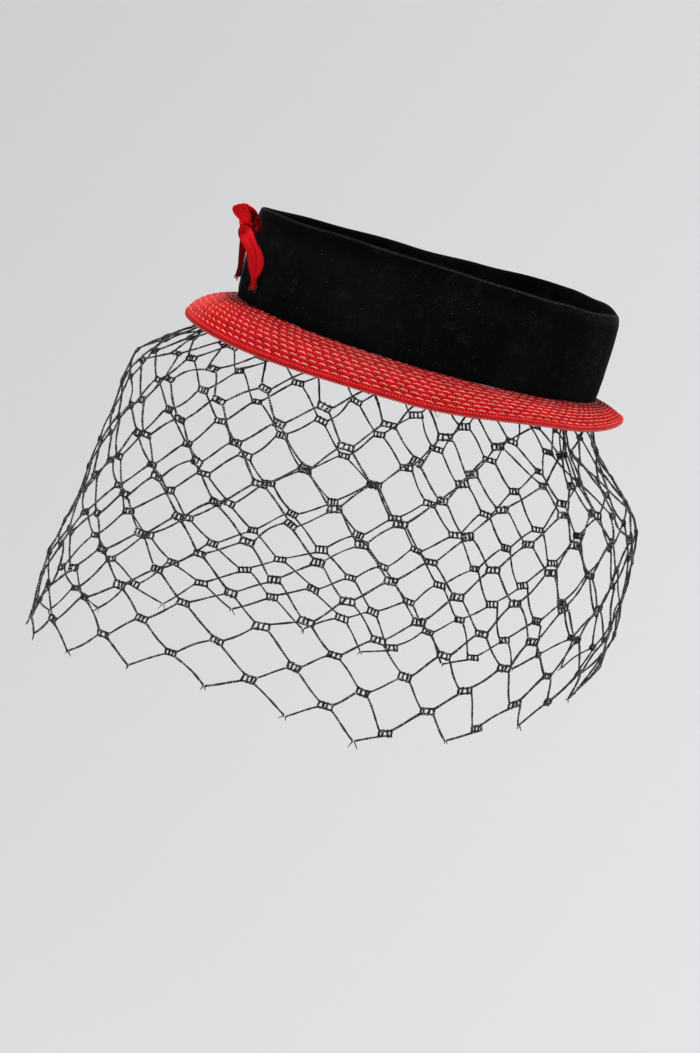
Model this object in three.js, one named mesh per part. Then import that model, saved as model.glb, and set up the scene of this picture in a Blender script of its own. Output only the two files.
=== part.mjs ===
import * as THREE from 'three';

// A small tilt hat: velvet crown, turned-down straw brim, ribbon bow and a net veil that hangs below it.
// Millimetres. The front is -Y, the wearer's left is +X and the crown stands along +Z.
// The origin is the centre of the head opening, level with the crown's foot at front and back.

const CLEARANCE = 0.3;

// Crown: an upright oval band on the brim's inner edge, with a sunken tip
const CROWN_HALF_LENGTH = 87;
const CROWN_HALF_WIDTH = 78;
const CROWN_WALL = 2.4;
const SIDE_DIP = 2.5;
const CROWN_STEPS = 64;
const CROWN_SECTIONS = [
  { angle: 0, height: 42.2, belly: 0.6 },
  { angle: 30, height: 43.6, belly: 0.7 },
  { angle: 60, height: 45.4, belly: 0.75 },
  { angle: 85, height: 45.6, belly: 0.7 },
  { angle: 110, height: 45.0, belly: 0.6 },
  { angle: 130, height: 43.3, belly: 0.5 },
  { angle: 150, height: 41.7, belly: 0.42 },
  { angle: 180, height: 41.0, belly: 0.35 },
  { angle: 205, height: 44.2, belly: 0.38 },
  { angle: 222, height: 45.4, belly: 0.43 },
  { angle: 240, height: 46.1, belly: 0.5 },
  { angle: 257, height: 45.0, belly: 0.6 },
  { angle: 280, height: 43.8, belly: 0.72 },
  { angle: 310, height: 42.8, belly: 0.75 },
  { angle: 335, height: 42.4, belly: 0.7 },
  { angle: 360, height: 42.2, belly: 0.6 },
];
const CROWN_PROFILE = [
  { up: 0.0, out: 0.0 },
  { up: 0.12, out: 1.2 },
  { up: 0.3, out: 2.1 },
  { up: 0.6, out: 2.5 },
  { up: 0.9, out: 1.7 },
  { up: 0.97, out: 1.0 },
];
const RIM_ROUND = 0.2;
const TIP_LEVEL = 29;
const TIP_DOME = 1.5;
const TIP_THICKNESS = 1.8;
const TIP_RINGS = 3;

// Brim: rows of straw braid sewn round the crown, each arching down to its edge
const BRIM_THICKNESS = 1.8;
const BRIM_STEPS = 64;
const BRAID_ROWS = 9;
const BRAID_RIDGE = 0.6;
const BRAID_CREST = 0.55;
const UNDERSIDE_STEPS = 5;
const BRIM_SECTIONS = [
  { angle: 0, width: 26, footSlope: 10, edgeSlope: 58 },
  { angle: 45, width: 26, footSlope: 15, edgeSlope: 62 },
  { angle: 90, width: 22.3, footSlope: 20, edgeSlope: 62 },
  { angle: 135, width: 18.5, footSlope: 14, edgeSlope: 46 },
  { angle: 180, width: 15.5, footSlope: 5, edgeSlope: 29 },
];

// Veil: a net in diamonds, sewn under the brim; reach is measured from the axis, drop from the crown's foot
const NET_COLUMNS = 15;
const NET_ROWS = 8;
const NET_THICKNESS = 1.2;
const NET_BAND = 2.4;
const KNOT_HALF_LENGTH = 4.0;
const KNOT_HALF_HEIGHT = 2.7;
const STRAND_STEPS = 2;
const BACK_GATHER = 0.14;
const ROW_BOW = 0.05;
const VEIL_LEVELS = [
  { front: 88.5, frontDrop: 3.4, side: 79.2, sideDrop: 5.9, back: 88.5, backDrop: 2.9 },
  { front: 103, frontDrop: 20, side: 89.2, sideDrop: 19, back: 91, backDrop: 15 },
  { front: 116.5, frontDrop: 30, side: 96.7, sideDrop: 34, back: 100.5, backDrop: 29.5 },
  { front: 125.5, frontDrop: 40, side: 99, sideDrop: 50, back: 115, backDrop: 41 },
  { front: 127.5, frontDrop: 56.5, side: 100, sideDrop: 67, back: 122, backDrop: 51.5 },
  { front: 129.5, frontDrop: 74, side: 101, sideDrop: 83.5, back: 125, backDrop: 64.5 },
  { front: 131, frontDrop: 91.5, side: 101.7, sideDrop: 100, back: 126.3, backDrop: 80.5 },
  { front: 134, frontDrop: 110.5, side: 102.4, sideDrop: 117, back: 127.6, backDrop: 95 },
  { front: 137.5, frontDrop: 131, side: 103, sideDrop: 133.5, back: 128, backDrop: 108 },
  { front: 139.5, frontDrop: 153, side: 103.5, sideDrop: 150, back: 124.5, backDrop: 120 },
  { front: 140.5, frontDrop: 176, side: 104, sideDrop: 167, back: 119, backDrop: 131 },
];

// Bow: one velvet ribbon tied at the crown's front; its tables are measured from the middle of the knot
const BOW_PLACE = new THREE.Vector3(24, -88.9, 31.2);
const BOW_TURN = 19;
const RIBBON_THICKNESS = 1.2;
const RIBBON_CUP = 0.5;
const KNOT_SIZE = { across: 5.2, out: 7.8, up: 8, round: 1.6 };
const RIBBON_STEPS = 16;
const BOW_RIBBONS = [
  {
    name: 'bow_loop_left',
    sections: [
      { x: 4.5, y: -1.8, z: 3.5, acrossX: 0.3, acrossY: -1.8, acrossZ: -0.3 },
      { x: 6.4, y: -3.2, z: 6.0, acrossX: -1.0, acrossY: -2.8, acrossZ: -1.1 },
      { x: 7.9, y: -5.1, z: 8.1, acrossX: -1.8, acrossY: -2.8, acrossZ: -1.7 },
      { x: 7.6, y: -6.2, z: 9.7, acrossX: -2.0, acrossY: -2.6, acrossZ: -1.5 },
      { x: 5.6, y: -4.4, z: 9.3, acrossX: -1.8, acrossY: -2.3, acrossZ: -1.6 },
      { x: 4.2, y: -1.1, z: 8.3, acrossX: -1.2, acrossY: -2.0, acrossZ: -1.5 },
      { x: 3.5, y: 2.3, z: 5.4, acrossX: -0.6, acrossY: -1.7, acrossZ: -1.1 },
      { x: 3.8, y: 3.9, z: 2.0, acrossX: -0.2, acrossY: -1.6, acrossZ: -0.7 },
      { x: 3.5, y: 3.4, z: -0.2, acrossX: 0.4, acrossY: -1.2, acrossZ: -0.3 },
    ],
  },
  {
    name: 'bow_loop_right',
    sections: [
      { x: -2.9, y: -1.8, z: 0.4, acrossX: 0, acrossY: 0, acrossZ: -1.9 },
      { x: -6.2, y: -3.9, z: 3.0, acrossX: -1.2, acrossY: -0.2, acrossZ: -2.4 },
      { x: -9.4, y: -5.0, z: 5.8, acrossX: -1.8, acrossY: -0.3, acrossZ: -2.5 },
      { x: -10.8, y: -3.7, z: 7.0, acrossX: -1.9, acrossY: -0.3, acrossZ: -2.5 },
      { x: -9.2, y: -1.6, z: 5.8, acrossX: -1.8, acrossY: -0.3, acrossZ: -2.5 },
      { x: -6.4, y: -0.2, z: 3.4, acrossX: -1.2, acrossY: -0.2, acrossZ: -2.3 },
      { x: -3.6, y: 0.5, z: 0.9, acrossX: 0, acrossY: 0, acrossZ: -1.9 },
    ],
  },
  {
    name: 'bow_tail_left',
    sections: [
      { x: 4.4, y: -1.7, z: 1.9, acrossX: 0, acrossY: 1.8, acrossZ: 0 },
      { x: 6.6, y: -0.4, z: -0.9, acrossX: 0.6, acrossY: 3.3, acrossZ: 0.7 },
      { x: 10.6, y: 2.4, z: -4.3, acrossX: 1.2, acrossY: 3.7, acrossZ: 0.6 },
      { x: 14.0, y: 6.1, z: -7.7, acrossX: 1.8, acrossY: 3.6, acrossZ: 0.8 },
      { x: 16.2, y: 8.3, z: -11.6, acrossX: 2.0, acrossY: 3.6, acrossZ: 1.0 },
      { x: 17.2, y: 9.5, z: -15.7, acrossX: 1.6, acrossY: 2.8, acrossZ: 0.8 },
      { x: 17.6, y: 9.9, z: -19.5, acrossX: 0.7, acrossY: 1.2, acrossZ: 0.4 },
      { x: 17.6, y: 10.3, z: -22.7, acrossX: 0.9, acrossY: 1.5, acrossZ: 0.5 },
    ],
  },
  {
    name: 'bow_tail_right',
    sections: [
      { x: -1.4, y: -1.2, z: -4.8, acrossX: 1.9, acrossY: 1.5, acrossZ: 0.5 },
      { x: -4.0, y: -0.7, z: -9.2, acrossX: 2.4, acrossY: 1.5, acrossZ: 0.4 },
      { x: -5.8, y: -0.3, z: -13.5, acrossX: 2.5, acrossY: 1.2, acrossZ: 0.4 },
      { x: -7.0, y: 0, z: -17.5, acrossX: 2.5, acrossY: 0.9, acrossZ: 0.3 },
      { x: -8.1, y: 0.1, z: -22.0, acrossX: 2.2, acrossY: 1.1, acrossZ: 0.3 },
    ],
  },
];

const FINISHES = {
  blackVelvet: { color: 0x0b0b0d, roughness: 0.95, metalness: 0 },
  redStraw: { color: 0xb8141b, roughness: 0.4, metalness: 0 },
  redVelvet: { color: 0xb50f16, roughness: 0.85, metalness: 0 },
  blackNet: { color: 0x121214, roughness: 0.7, metalness: 0 },
};

const TURN = 2 * Math.PI;
const { degToRad, radToDeg, lerp } = THREE.MathUtils;

function steps(count) {
  return Array.from({ length: count }, (_, i) => i);
}

// The columns of a table at one place, eased between the rows on either side
function rowAt(rows, key, place) {
  const after = Math.max(1, rows.findIndex((row) => row[key] >= place));
  const [low, high] = [rows[after - 1], rows[after]];
  const share = (place - low[key]) / (high[key] - low[key]);
  const eased = (1 - Math.cos(Math.PI * share)) / 2;
  return Object.fromEntries(Object.keys(low).map((name) => [name, lerp(low[name], high[name], eased)]));
}

// The columns of a table of evenly spaced rows, on a smooth curve through all rows
function curveAt(rows, share) {
  const place = share * (rows.length - 1);
  const from = Math.min(Math.floor(place), rows.length - 2);
  const t = place - from;
  const pick = (offset) => rows[THREE.MathUtils.clamp(from + offset, 0, rows.length - 1)];
  const [p0, p1, p2, p3] = [pick(-1), pick(0), pick(1), pick(2)];
  const smooth = (name) => {
    const slopeIn = (p2[name] - p0[name]) / 2;
    const slopeOut = (p3[name] - p1[name]) / 2;
    const rise = p2[name] - p1[name];
    const bend = 3 * rise - 2 * slopeIn - slopeOut;
    const twist = slopeIn + slopeOut - 2 * rise;
    return p1[name] + t * (slopeIn + t * (bend + t * twist));
  };
  return Object.fromEntries(Object.keys(p1).map((name) => [name, smooth(name)]));
}

// A point beside the crown's foot oval: turn from the front, distance outward and height
function besideOval(turn, out, up) {
  const normal = new THREE.Vector2(
    Math.sin(turn) / CROWN_HALF_WIDTH,
    -Math.cos(turn) / CROWN_HALF_LENGTH,
  ).normalize();
  return new THREE.Vector3(
    CROWN_HALF_WIDTH * Math.sin(turn) + normal.x * out,
    -CROWN_HALF_LENGTH * Math.cos(turn) + normal.y * out,
    up,
  );
}

function footLevel(turn) {
  return -SIDE_DIP * Math.sin(turn) ** 2;
}

function asGeometry(points, triangles) {
  const geometry = new THREE.BufferGeometry().setFromPoints(points);
  geometry.setIndex(triangles.flat());
  geometry.computeVertexNormals();
  return geometry;
}

// A closed ring through sections that are closed outlines, running outside-in as seen along the ring
function ringSolid(sectionAt, count) {
  const sections = steps(count).map((i) => sectionAt((TURN * i) / count));
  const width = sections[0].length;
  const at = (i, j) => (i % count) * width + (j % width);
  const triangles = [];
  for (const i of steps(count)) {
    for (const j of steps(width)) {
      triangles.push([at(i, j), at(i + 1, j), at(i + 1, j + 1)]);
      triangles.push([at(i, j), at(i + 1, j + 1), at(i, j + 1)]);
    }
  }
  return asGeometry(sections.flat(), triangles);
}

// A sheet of faces given thickness: both sides, and a wall along every free edge
function thickSheet(points, normals, faces, thickness) {
  const count = points.length;
  const half = thickness / 2;
  const shifted = (side) => points.map((point, i) => point.clone().addScaledVector(normals[i], side * half));
  const triangles = [];
  const edges = new Set();
  for (const face of faces) {
    for (const k of steps(face.length - 2)) {
      const [a, b, c] = [face[0], face[k + 1], face[k + 2]];
      triangles.push([a, b, c], [c + count, b + count, a + count]);
    }
    face.forEach((a, k) => edges.add(`${a},${face[(k + 1) % face.length]}`));
  }
  for (const edge of edges) {
    const [a, b] = edge.split(',').map(Number);
    if (!edges.has(`${b},${a}`)) {
      triangles.push([b, a, a + count], [b, a + count, b + count]);
    }
  }
  return asGeometry([...shifted(1), ...shifted(-1)], triangles);
}

function crownOut(turn, up) {
  const { belly } = rowAt(CROWN_SECTIONS, 'angle', radToDeg(turn));
  const last = CROWN_PROFILE[CROWN_PROFILE.length - 1];
  return belly * (up >= last.up ? last.out : rowAt(CROWN_PROFILE, 'up', Math.max(up, 0)).out);
}

// Up the outside, over the rounded rim and down the inside
function crownBand() {
  const section = (turn) => {
    const { height } = rowAt(CROWN_SECTIONS, 'angle', radToDeg(turn));
    const foot = footLevel(turn) + CLEARANCE;
    const tall = height - CLEARANCE;
    const wall = (up, inward) => besideOval(turn, crownOut(turn, up) - inward, foot + up * tall);
    const levels = CROWN_PROFILE.map((row) => row.up);
    return [
      ...levels.map((up) => wall(up, 0)),
      wall(1, CROWN_WALL * RIM_ROUND),
      wall(1, CROWN_WALL * (1 - RIM_ROUND)),
      ...levels.toReversed().map((up) => wall(up, CROWN_WALL)),
    ];
  };
  return ringSolid(section, CROWN_STEPS);
}

// A shallow dome inside the band, well below the rim
function crownTip() {
  const points = [new THREE.Vector3(0, 0, TIP_LEVEL + TIP_DOME)];
  const faces = [];
  const at = (ring, i) => 1 + ring * CROWN_STEPS + (i % CROWN_STEPS);
  for (const ring of steps(TIP_RINGS)) {
    const share = (ring + 1) / TIP_RINGS;
    for (const i of steps(CROWN_STEPS)) {
      const turn = (TURN * i) / CROWN_STEPS;
      const { height } = rowAt(CROWN_SECTIONS, 'angle', radToDeg(turn));
      const up = (TIP_LEVEL - footLevel(turn)) / height;
      const edge = besideOval(turn, crownOut(turn, up) - CROWN_WALL - 2 * CLEARANCE, 0);
      points.push(edge.multiplyScalar(share).setZ(TIP_LEVEL + TIP_DOME * (1 - share ** 2)));
      faces.push(ring === 0 ? [0, at(0, i), at(0, i + 1)]
        : [at(ring - 1, i), at(ring, i), at(ring, i + 1), at(ring - 1, i + 1)]);
    }
  }
  const upright = points.map(() => new THREE.Vector3(0, 0, 1));
  return thickSheet(points, upright, faces, TIP_THICKNESS);
}

// A point on the brim: across runs from the crown's foot to the edge, lift is measured off the braid's face
function brimPoint(turn, across, lift) {
  const angle = radToDeg(turn);
  const { width, footSlope, edgeSlope } = rowAt(BRIM_SECTIONS, 'angle', angle > 180 ? 360 - angle : angle);
  const foot = degToRad(footSlope);
  const arc = degToRad(edgeSlope) - foot;
  const slope = foot + arc * across;
  const out = (width / arc) * (Math.sin(slope) - Math.sin(foot));
  const drop = (width / arc) * (Math.cos(foot) - Math.cos(slope));
  return besideOval(turn, out + lift * Math.sin(slope), footLevel(turn) - drop + lift * Math.cos(slope));
}

// Ridged braid rows above, a plain face below and a flat ledge under the crown's wall
function brim() {
  const rows = steps(BRAID_ROWS);
  const below = steps(UNDERSIDE_STEPS + 1).map((i) => i / UNDERSIDE_STEPS);
  const section = (turn) => [
    ...below.map((across) => brimPoint(turn, across, -BRIM_THICKNESS)),
    brimPoint(turn, 1, 0),
    ...rows.toReversed().flatMap((row) => [
      brimPoint(turn, (row + BRAID_CREST) / BRAID_ROWS, BRAID_RIDGE),
      brimPoint(turn, row / BRAID_ROWS, 0),
    ]),
    besideOval(turn, -CROWN_WALL, footLevel(turn)),
    besideOval(turn, -CROWN_WALL, footLevel(turn) - BRIM_THICKNESS),
  ];
  return ringSolid(section, BRIM_STEPS);
}

// A point on the draped net: round is the share of the way round from the front, down runs from seam to hem
function veilPoint(round, down) {
  const turn = TURN * round + BACK_GATHER * Math.sin(TURN * round);
  const facing = Math.cos(turn);
  const bowed = down + ROW_BOW * facing ** 2 * Math.sin(Math.PI * down);
  const level = curveAt(VEIL_LEVELS, THREE.MathUtils.clamp(bowed, 0, 1));
  const [reach, drop] = facing > 0 ? [level.front, level.frontDrop] : [level.back, level.backDrop];
  return new THREE.Vector3(
    level.side * Math.sin(turn),
    -reach * facing,
    -lerp(level.sideDrop, drop, facing ** 2),
  );
}

function veilNormal(round, down) {
  const nudge = 1e-4;
  const below = Math.min(down + nudge, 1);
  const above = below - nudge;
  const along = veilPoint(round + nudge, down).sub(veilPoint(round - nudge, down));
  const downward = veilPoint(round, below).sub(veilPoint(round, above));
  return along.cross(downward).normalize();
}

// The net as flat knots and strands on the draped surface, under a sewn band along its top
function veil() {
  const points = [];
  const normals = [];
  const faces = [];
  const middleLevel = VEIL_LEVELS[Math.floor(VEIL_LEVELS.length / 2)];
  const roundLength = TURN * middleLevel.side;
  const downLength = VEIL_LEVELS[VEIL_LEVELS.length - 1].sideDrop;
  const halfRound = KNOT_HALF_LENGTH / roundLength;
  const halfDown = KNOT_HALF_HEIGHT / downLength;
  const bandDown = NET_BAND / downLength;
  const add = (round, down) => {
    points.push(veilPoint(round, down));
    normals.push(veilNormal(round, down));
    return { round, down, index: points.length - 1 };
  };
  const knotPlace = (row, column) => [
    (column + (row % 2 === 0 ? 0.5 : 0)) / NET_COLUMNS,
    bandDown + ((1 - bandDown - halfDown) * row) / NET_ROWS,
  ];
  const knots = steps(NET_ROWS + 1).map((row) => steps(NET_COLUMNS).map((column) => {
    const [round, down] = knotPlace(row, column);
    return {
      left: add(round - halfRound, down),
      right: add(round + halfRound, down),
      top: add(round, row === 0 ? down : down - halfDown),
      bottom: row === 0 ? null : add(round, down + halfDown),
    };
  }));
  for (const { left, right, top, bottom } of knots.slice(1).flat()) {
    faces.push([top, right, bottom, left].map((corner) => corner.index));
  }
  // The band has a point above each corner of the top row of knots
  const rim = knots[0].flatMap(({ left, right, top }) => [left, top, right]);
  const upper = rim.map((corner) => add(corner.round, 0).index);
  rim.forEach((corner, i) => {
    const next = (i + 1) % rim.length;
    faces.push([upper[i], upper[next], rim[next].index, corner.index]);
  });
  // A strand runs between a pair of knot corners above and a pair below
  const strand = (fromA, fromB, toA, toB, wrap) => {
    let [lastA, lastB] = [fromA.index, fromB.index];
    for (const step of steps(STRAND_STEPS)) {
      const share = (step + 1) / STRAND_STEPS;
      const between = (from, to) => {
        return add(lerp(from.round, to.round + wrap, share), lerp(from.down, to.down, share)).index;
      };
      const atEnd = share === 1;
      const nextA = atEnd ? toA.index : between(fromA, toA);
      const nextB = atEnd ? toB.index : between(fromB, toB);
      faces.push([lastA, lastB, nextB, nextA]);
      [lastA, lastB] = [nextA, nextB];
    }
  };
  for (const row of steps(NET_ROWS)) {
    for (const column of steps(NET_COLUMNS)) {
      const knot = knots[row][column];
      const low = knot.bottom ?? knot.top;
      const rightColumn = row % 2 === 0 ? column + 1 : column;
      const leftColumn = rightColumn - 1;
      const rightKnot = knots[row + 1][rightColumn % NET_COLUMNS];
      const leftKnot = knots[row + 1][(leftColumn + NET_COLUMNS) % NET_COLUMNS];
      strand(low, knot.right, rightKnot.left, rightKnot.top, rightColumn >= NET_COLUMNS ? 1 : 0);
      strand(knot.left, low, leftKnot.top, leftKnot.right, leftColumn < 0 ? -1 : 0);
    }
  }
  return thickSheet(points, normals, faces, NET_THICKNESS);
}

// A ribbon through sections that each give a middle and half the width as vectors, slightly cupped
function ribbon(sections) {
  const points = [];
  const normals = [];
  const faces = [];
  sections.forEach(({ middle, across }, i) => {
    const before = sections[Math.max(i - 1, 0)].middle;
    const after = sections[Math.min(i + 1, sections.length - 1)].middle;
    const normal = across.clone().cross(after.clone().sub(before)).normalize();
    for (const side of [-1, 0, 1]) {
      const flat = middle.clone().addScaledVector(across, side);
      points.push(flat.addScaledVector(normal, -RIBBON_CUP * side ** 2));
      normals.push(normal);
    }
    if (i > 0) {
      const row = 3 * i;
      faces.push([row - 3, row - 2, row + 1, row], [row - 2, row - 1, row + 2, row + 1]);
    }
  });
  return thickSheet(points, normals, faces, RIBBON_THICKNESS);
}

// A loop or a tail of the bow, on a smooth curve through its sections
function bowRibbon({ sections }) {
  return ribbon(steps(RIBBON_STEPS + 1).map((i) => {
    const { x, y, z, acrossX, acrossY, acrossZ } = curveAt(sections, i / RIBBON_STEPS);
    return { middle: new THREE.Vector3(x, y, z), across: new THREE.Vector3(acrossX, acrossY, acrossZ) };
  }));
}

// The ribbon wrapped once round the middle of the bow, as a softly rounded block
function bowKnot() {
  const { across, out, up, round } = KNOT_SIZE;
  const [halfOut, halfUp] = [out / 2 - round, up / 2 - round];
  const outline = new THREE.Shape();
  outline.moveTo(-halfOut, -halfUp);
  outline.lineTo(halfOut, -halfUp);
  outline.lineTo(halfOut, halfUp);
  outline.lineTo(-halfOut, halfUp);
  const block = new THREE.ExtrudeGeometry(outline, {
    depth: across - 2 * round,
    bevelSize: round,
    bevelThickness: round,
    bevelSegments: 3,
  });
  block.translate(0, 0, round - across / 2);
  block.rotateX(Math.PI / 2);
  return block.rotateZ(Math.PI / 2);
}

function named(name, geometry, finish) {
  const mesh = new THREE.Mesh(geometry, new THREE.MeshStandardMaterial(FINISHES[finish]));
  mesh.name = name;
  return mesh;
}

const bow = new THREE.Group();
bow.position.copy(BOW_PLACE);
const knot = named('bow_knot', bowKnot(), 'redVelvet');
knot.rotation.z = degToRad(BOW_TURN);
bow.add(knot);
BOW_RIBBONS.forEach((strip) => bow.add(named(strip.name, bowRibbon(strip), 'redVelvet')));

const hat = new THREE.Group();
hat.add(
  named('crown_band', crownBand(), 'blackVelvet'),
  named('crown_tip', crownTip(), 'blackVelvet'),
  named('brim', brim(), 'redStraw'),
  named('veil', veil(), 'blackNet'),
  bow,
);

export default hat;
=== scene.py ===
"""Dresses a small tilt hat: velvet crown, straw braid brim, velvet ribbon bow and knotted net veil."""

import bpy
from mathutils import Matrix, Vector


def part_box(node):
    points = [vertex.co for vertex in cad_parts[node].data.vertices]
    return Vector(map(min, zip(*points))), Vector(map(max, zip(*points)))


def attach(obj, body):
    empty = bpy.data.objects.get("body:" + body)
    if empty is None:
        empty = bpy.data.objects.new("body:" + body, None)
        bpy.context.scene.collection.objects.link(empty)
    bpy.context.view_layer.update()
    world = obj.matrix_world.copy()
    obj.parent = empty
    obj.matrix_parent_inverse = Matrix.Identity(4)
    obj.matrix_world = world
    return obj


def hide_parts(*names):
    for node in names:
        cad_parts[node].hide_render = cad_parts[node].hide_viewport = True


bl_info = {
    "name": "Veiled Tilt Hat",
    "version": (1, 0, 0),
    "blender": (4, 5, 0),
    "location": "View3D > Sidebar > Tilt Hat",
    "description": "Builds a velvet tilt hat with a straw braid brim, a ribbon bow and a net veil",
    "category": "Add Mesh",
}

import math

import bpy
import numpy as np
from bpy.props import FloatProperty, FloatVectorProperty, IntProperty, PointerProperty
from mathutils import Matrix, Vector

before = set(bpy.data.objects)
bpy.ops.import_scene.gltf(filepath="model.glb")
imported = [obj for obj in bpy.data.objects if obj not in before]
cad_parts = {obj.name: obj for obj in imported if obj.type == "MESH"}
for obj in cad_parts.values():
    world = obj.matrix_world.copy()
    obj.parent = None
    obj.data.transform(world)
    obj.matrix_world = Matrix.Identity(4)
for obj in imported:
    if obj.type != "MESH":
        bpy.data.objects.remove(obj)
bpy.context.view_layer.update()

MM = 0.001
TURN = 2 * math.pi


def table(names, *rows):
    """A table with named columns and a row for each section."""
    return dict(zip(names.split(), np.array(rows, float).T))


# Sections of the hat, in millimetres and degrees from the front

CROWN_SECTIONS = table(
    "angle height belly",
    (0, 42.2, 0.6),
    (30, 43.6, 0.7),
    (60, 45.4, 0.75),
    (85, 45.6, 0.7),
    (110, 45.0, 0.6),
    (130, 43.3, 0.5),
    (150, 41.7, 0.42),
    (180, 41.0, 0.35),
    (205, 44.2, 0.38),
    (222, 45.4, 0.43),
    (240, 46.1, 0.5),
    (257, 45.0, 0.6),
    (280, 43.8, 0.72),
    (310, 42.8, 0.75),
    (335, 42.4, 0.7),
    (360, 42.2, 0.6),
)
CROWN_PROFILE = table(
    "up out",
    (0.0, 0.0),
    (0.12, 1.2),
    (0.3, 2.1),
    (0.6, 2.5),
    (0.9, 1.7),
    (0.97, 1.0),
)
BRIM_SECTIONS = table(
    "angle width foot_slope edge_slope",
    (0, 26, 10, 58),
    (45, 26, 15, 62),
    (90, 22.3, 20, 62),
    (135, 18.5, 14, 46),
    (180, 15.5, 5, 29),
)
VEIL_LEVELS = table(
    "front front_drop side side_drop back back_drop",
    (88.5, 3.4, 79.2, 5.9, 88.5, 2.9),
    (103, 20, 89.2, 19, 91, 15),
    (116.5, 30, 96.7, 34, 100.5, 29.5),
    (125.5, 40, 99, 50, 115, 41),
    (127.5, 56.5, 100, 67, 122, 51.5),
    (129.5, 74, 101, 83.5, 125, 64.5),
    (131, 91.5, 101.7, 100, 126.3, 80.5),
    (134, 110.5, 102.4, 117, 127.6, 95),
    (137.5, 131, 103, 133.5, 128, 108),
    (139.5, 153, 103.5, 150, 124.5, 120),
    (140.5, 176, 104, 167, 119, 131),
)

# How far the straw springs up near the edge at the front of the brim, and over how many degrees
FRONT_SPRING = 0.9 * MM
SPRING_REACH = 40

# The bow, in millimetres from the middle of its knot; across is half the ribbon's width
BOW_TURN = 19
RIBBON_COLUMNS = "x y z across_x across_y across_z"
BOW_LOOPS = {
    "bow_loop_left": table(
        RIBBON_COLUMNS,
        (4.5, -1.8, 3.5, 0.3, -1.8, -0.3),
        (6.4, -3.2, 6.0, -1.0, -2.8, -1.1),
        (7.9, -5.1, 8.1, -1.8, -2.8, -1.7),
        (7.6, -6.2, 9.7, -2.0, -2.6, -1.5),
        (5.6, -4.4, 9.3, -1.8, -2.3, -1.6),
        (4.2, -1.1, 8.3, -1.2, -2.0, -1.5),
        (3.5, 2.3, 5.4, -0.6, -1.7, -1.1),
        (3.8, 3.9, 2.0, -0.2, -1.6, -0.7),
        (3.5, 3.4, -0.2, 0.4, -1.2, -0.3),
    ),
    "bow_loop_right": table(
        RIBBON_COLUMNS,
        (-2.9, -1.8, 0.4, 0, 0, -1.9),
        (-6.2, -3.9, 3.0, -1.2, -0.2, -2.4),
        (-9.4, -5.0, 5.8, -1.8, -0.3, -2.5),
        (-10.8, -3.7, 7.0, -1.9, -0.3, -2.5),
        (-9.2, -1.6, 5.8, -1.8, -0.3, -2.5),
        (-6.4, -0.2, 3.4, -1.2, -0.2, -2.3),
        (-3.6, 0.5, 0.9, 0, 0, -1.9),
    ),
}
# The right tail hangs with its woven back outward, so its width runs the other way
BOW_TAILS = {
    "bow_tail_left": table(
        RIBBON_COLUMNS,
        (4.4, -1.7, 1.9, 0.0, 1.8, 0.0),
        (6.6, -0.4, -0.9, 0.6, 3.3, 0.7),
        (10.6, 2.4, -4.3, 1.2, 3.7, 0.6),
        (14.0, 6.1, -7.7, 1.8, 3.6, 0.8),
        (16.2, 8.3, -11.6, 2.0, 3.6, 1.0),
        (17.2, 9.5, -15.7, 1.6, 2.8, 0.8),
        (17.6, 9.9, -19.5, 0.7, 1.2, 0.4),
        (17.6, 10.3, -22.7, 0.9, 1.5, 0.5),
    ),
    "bow_tail_right": table(
        RIBBON_COLUMNS,
        (-1.4, -1.2, -4.8, -1.9, -1.5, -0.5),
        (-4.0, -0.7, -9.2, -2.4, -1.5, -0.4),
        (-5.8, -0.3, -13.5, -2.5, -1.2, -0.4),
        (-7.0, 0.0, -17.5, -2.5, -0.9, -0.3),
        (-8.1, 0.1, -22.0, -2.2, -1.1, -0.3),
    ),
}


# Settings that a user would change


def length(name, description, default):
    """A size in metres."""
    return FloatProperty(name=name, description=description, default=default, unit="LENGTH", precision=5)


def colour(name, description, default):
    """A linear colour."""
    return FloatVectorProperty(name=name, description=description, default=default, subtype="COLOR", size=3)


def count(name, description, default):
    """A whole number."""
    return IntProperty(name=name, description=description, default=default, min=0)


class CrownSettings(bpy.types.PropertyGroup):
    """Sizes and colours of the velvet crown."""

    half_length: length("Half length", "Half the head opening's length, front to back", 87 * MM)
    half_width: length("Half width", "Half the head opening's width", 78 * MM)
    rounding: length("Rounding", "How far the rim draws in at the back", 0.9 * MM)
    wall: length("Wall", "Thickness of the velvet over its stiffened band", 2.4 * MM)
    side_dip: length("Side dip", "How far the crown's foot dips at the sides", 2.5 * MM)
    tip_thickness: length("Tip thickness", "Thickness of the sunken tip", 1.8 * MM)
    tip_dome: length("Tip dome", "Rise of the tip towards its middle", 1.5 * MM)
    nap_colour: colour("Nap", "Colour of the velvet", (0.0034, 0.0036, 0.0038))
    # Painted sheen: the paler colour laid along the rim's bend and on the back corner; the dust smudges
    # take it too
    wear_colour: colour("Wear", "Colour of the velvet along its worn rim", (0.024, 0.024, 0.029))
    lint_colour: colour("Lint", "Colour of the dust on the velvet", (0.15, 0.155, 0.175))
    lint: count("Lint", "Specks of lint on the crown", 1500)


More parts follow.
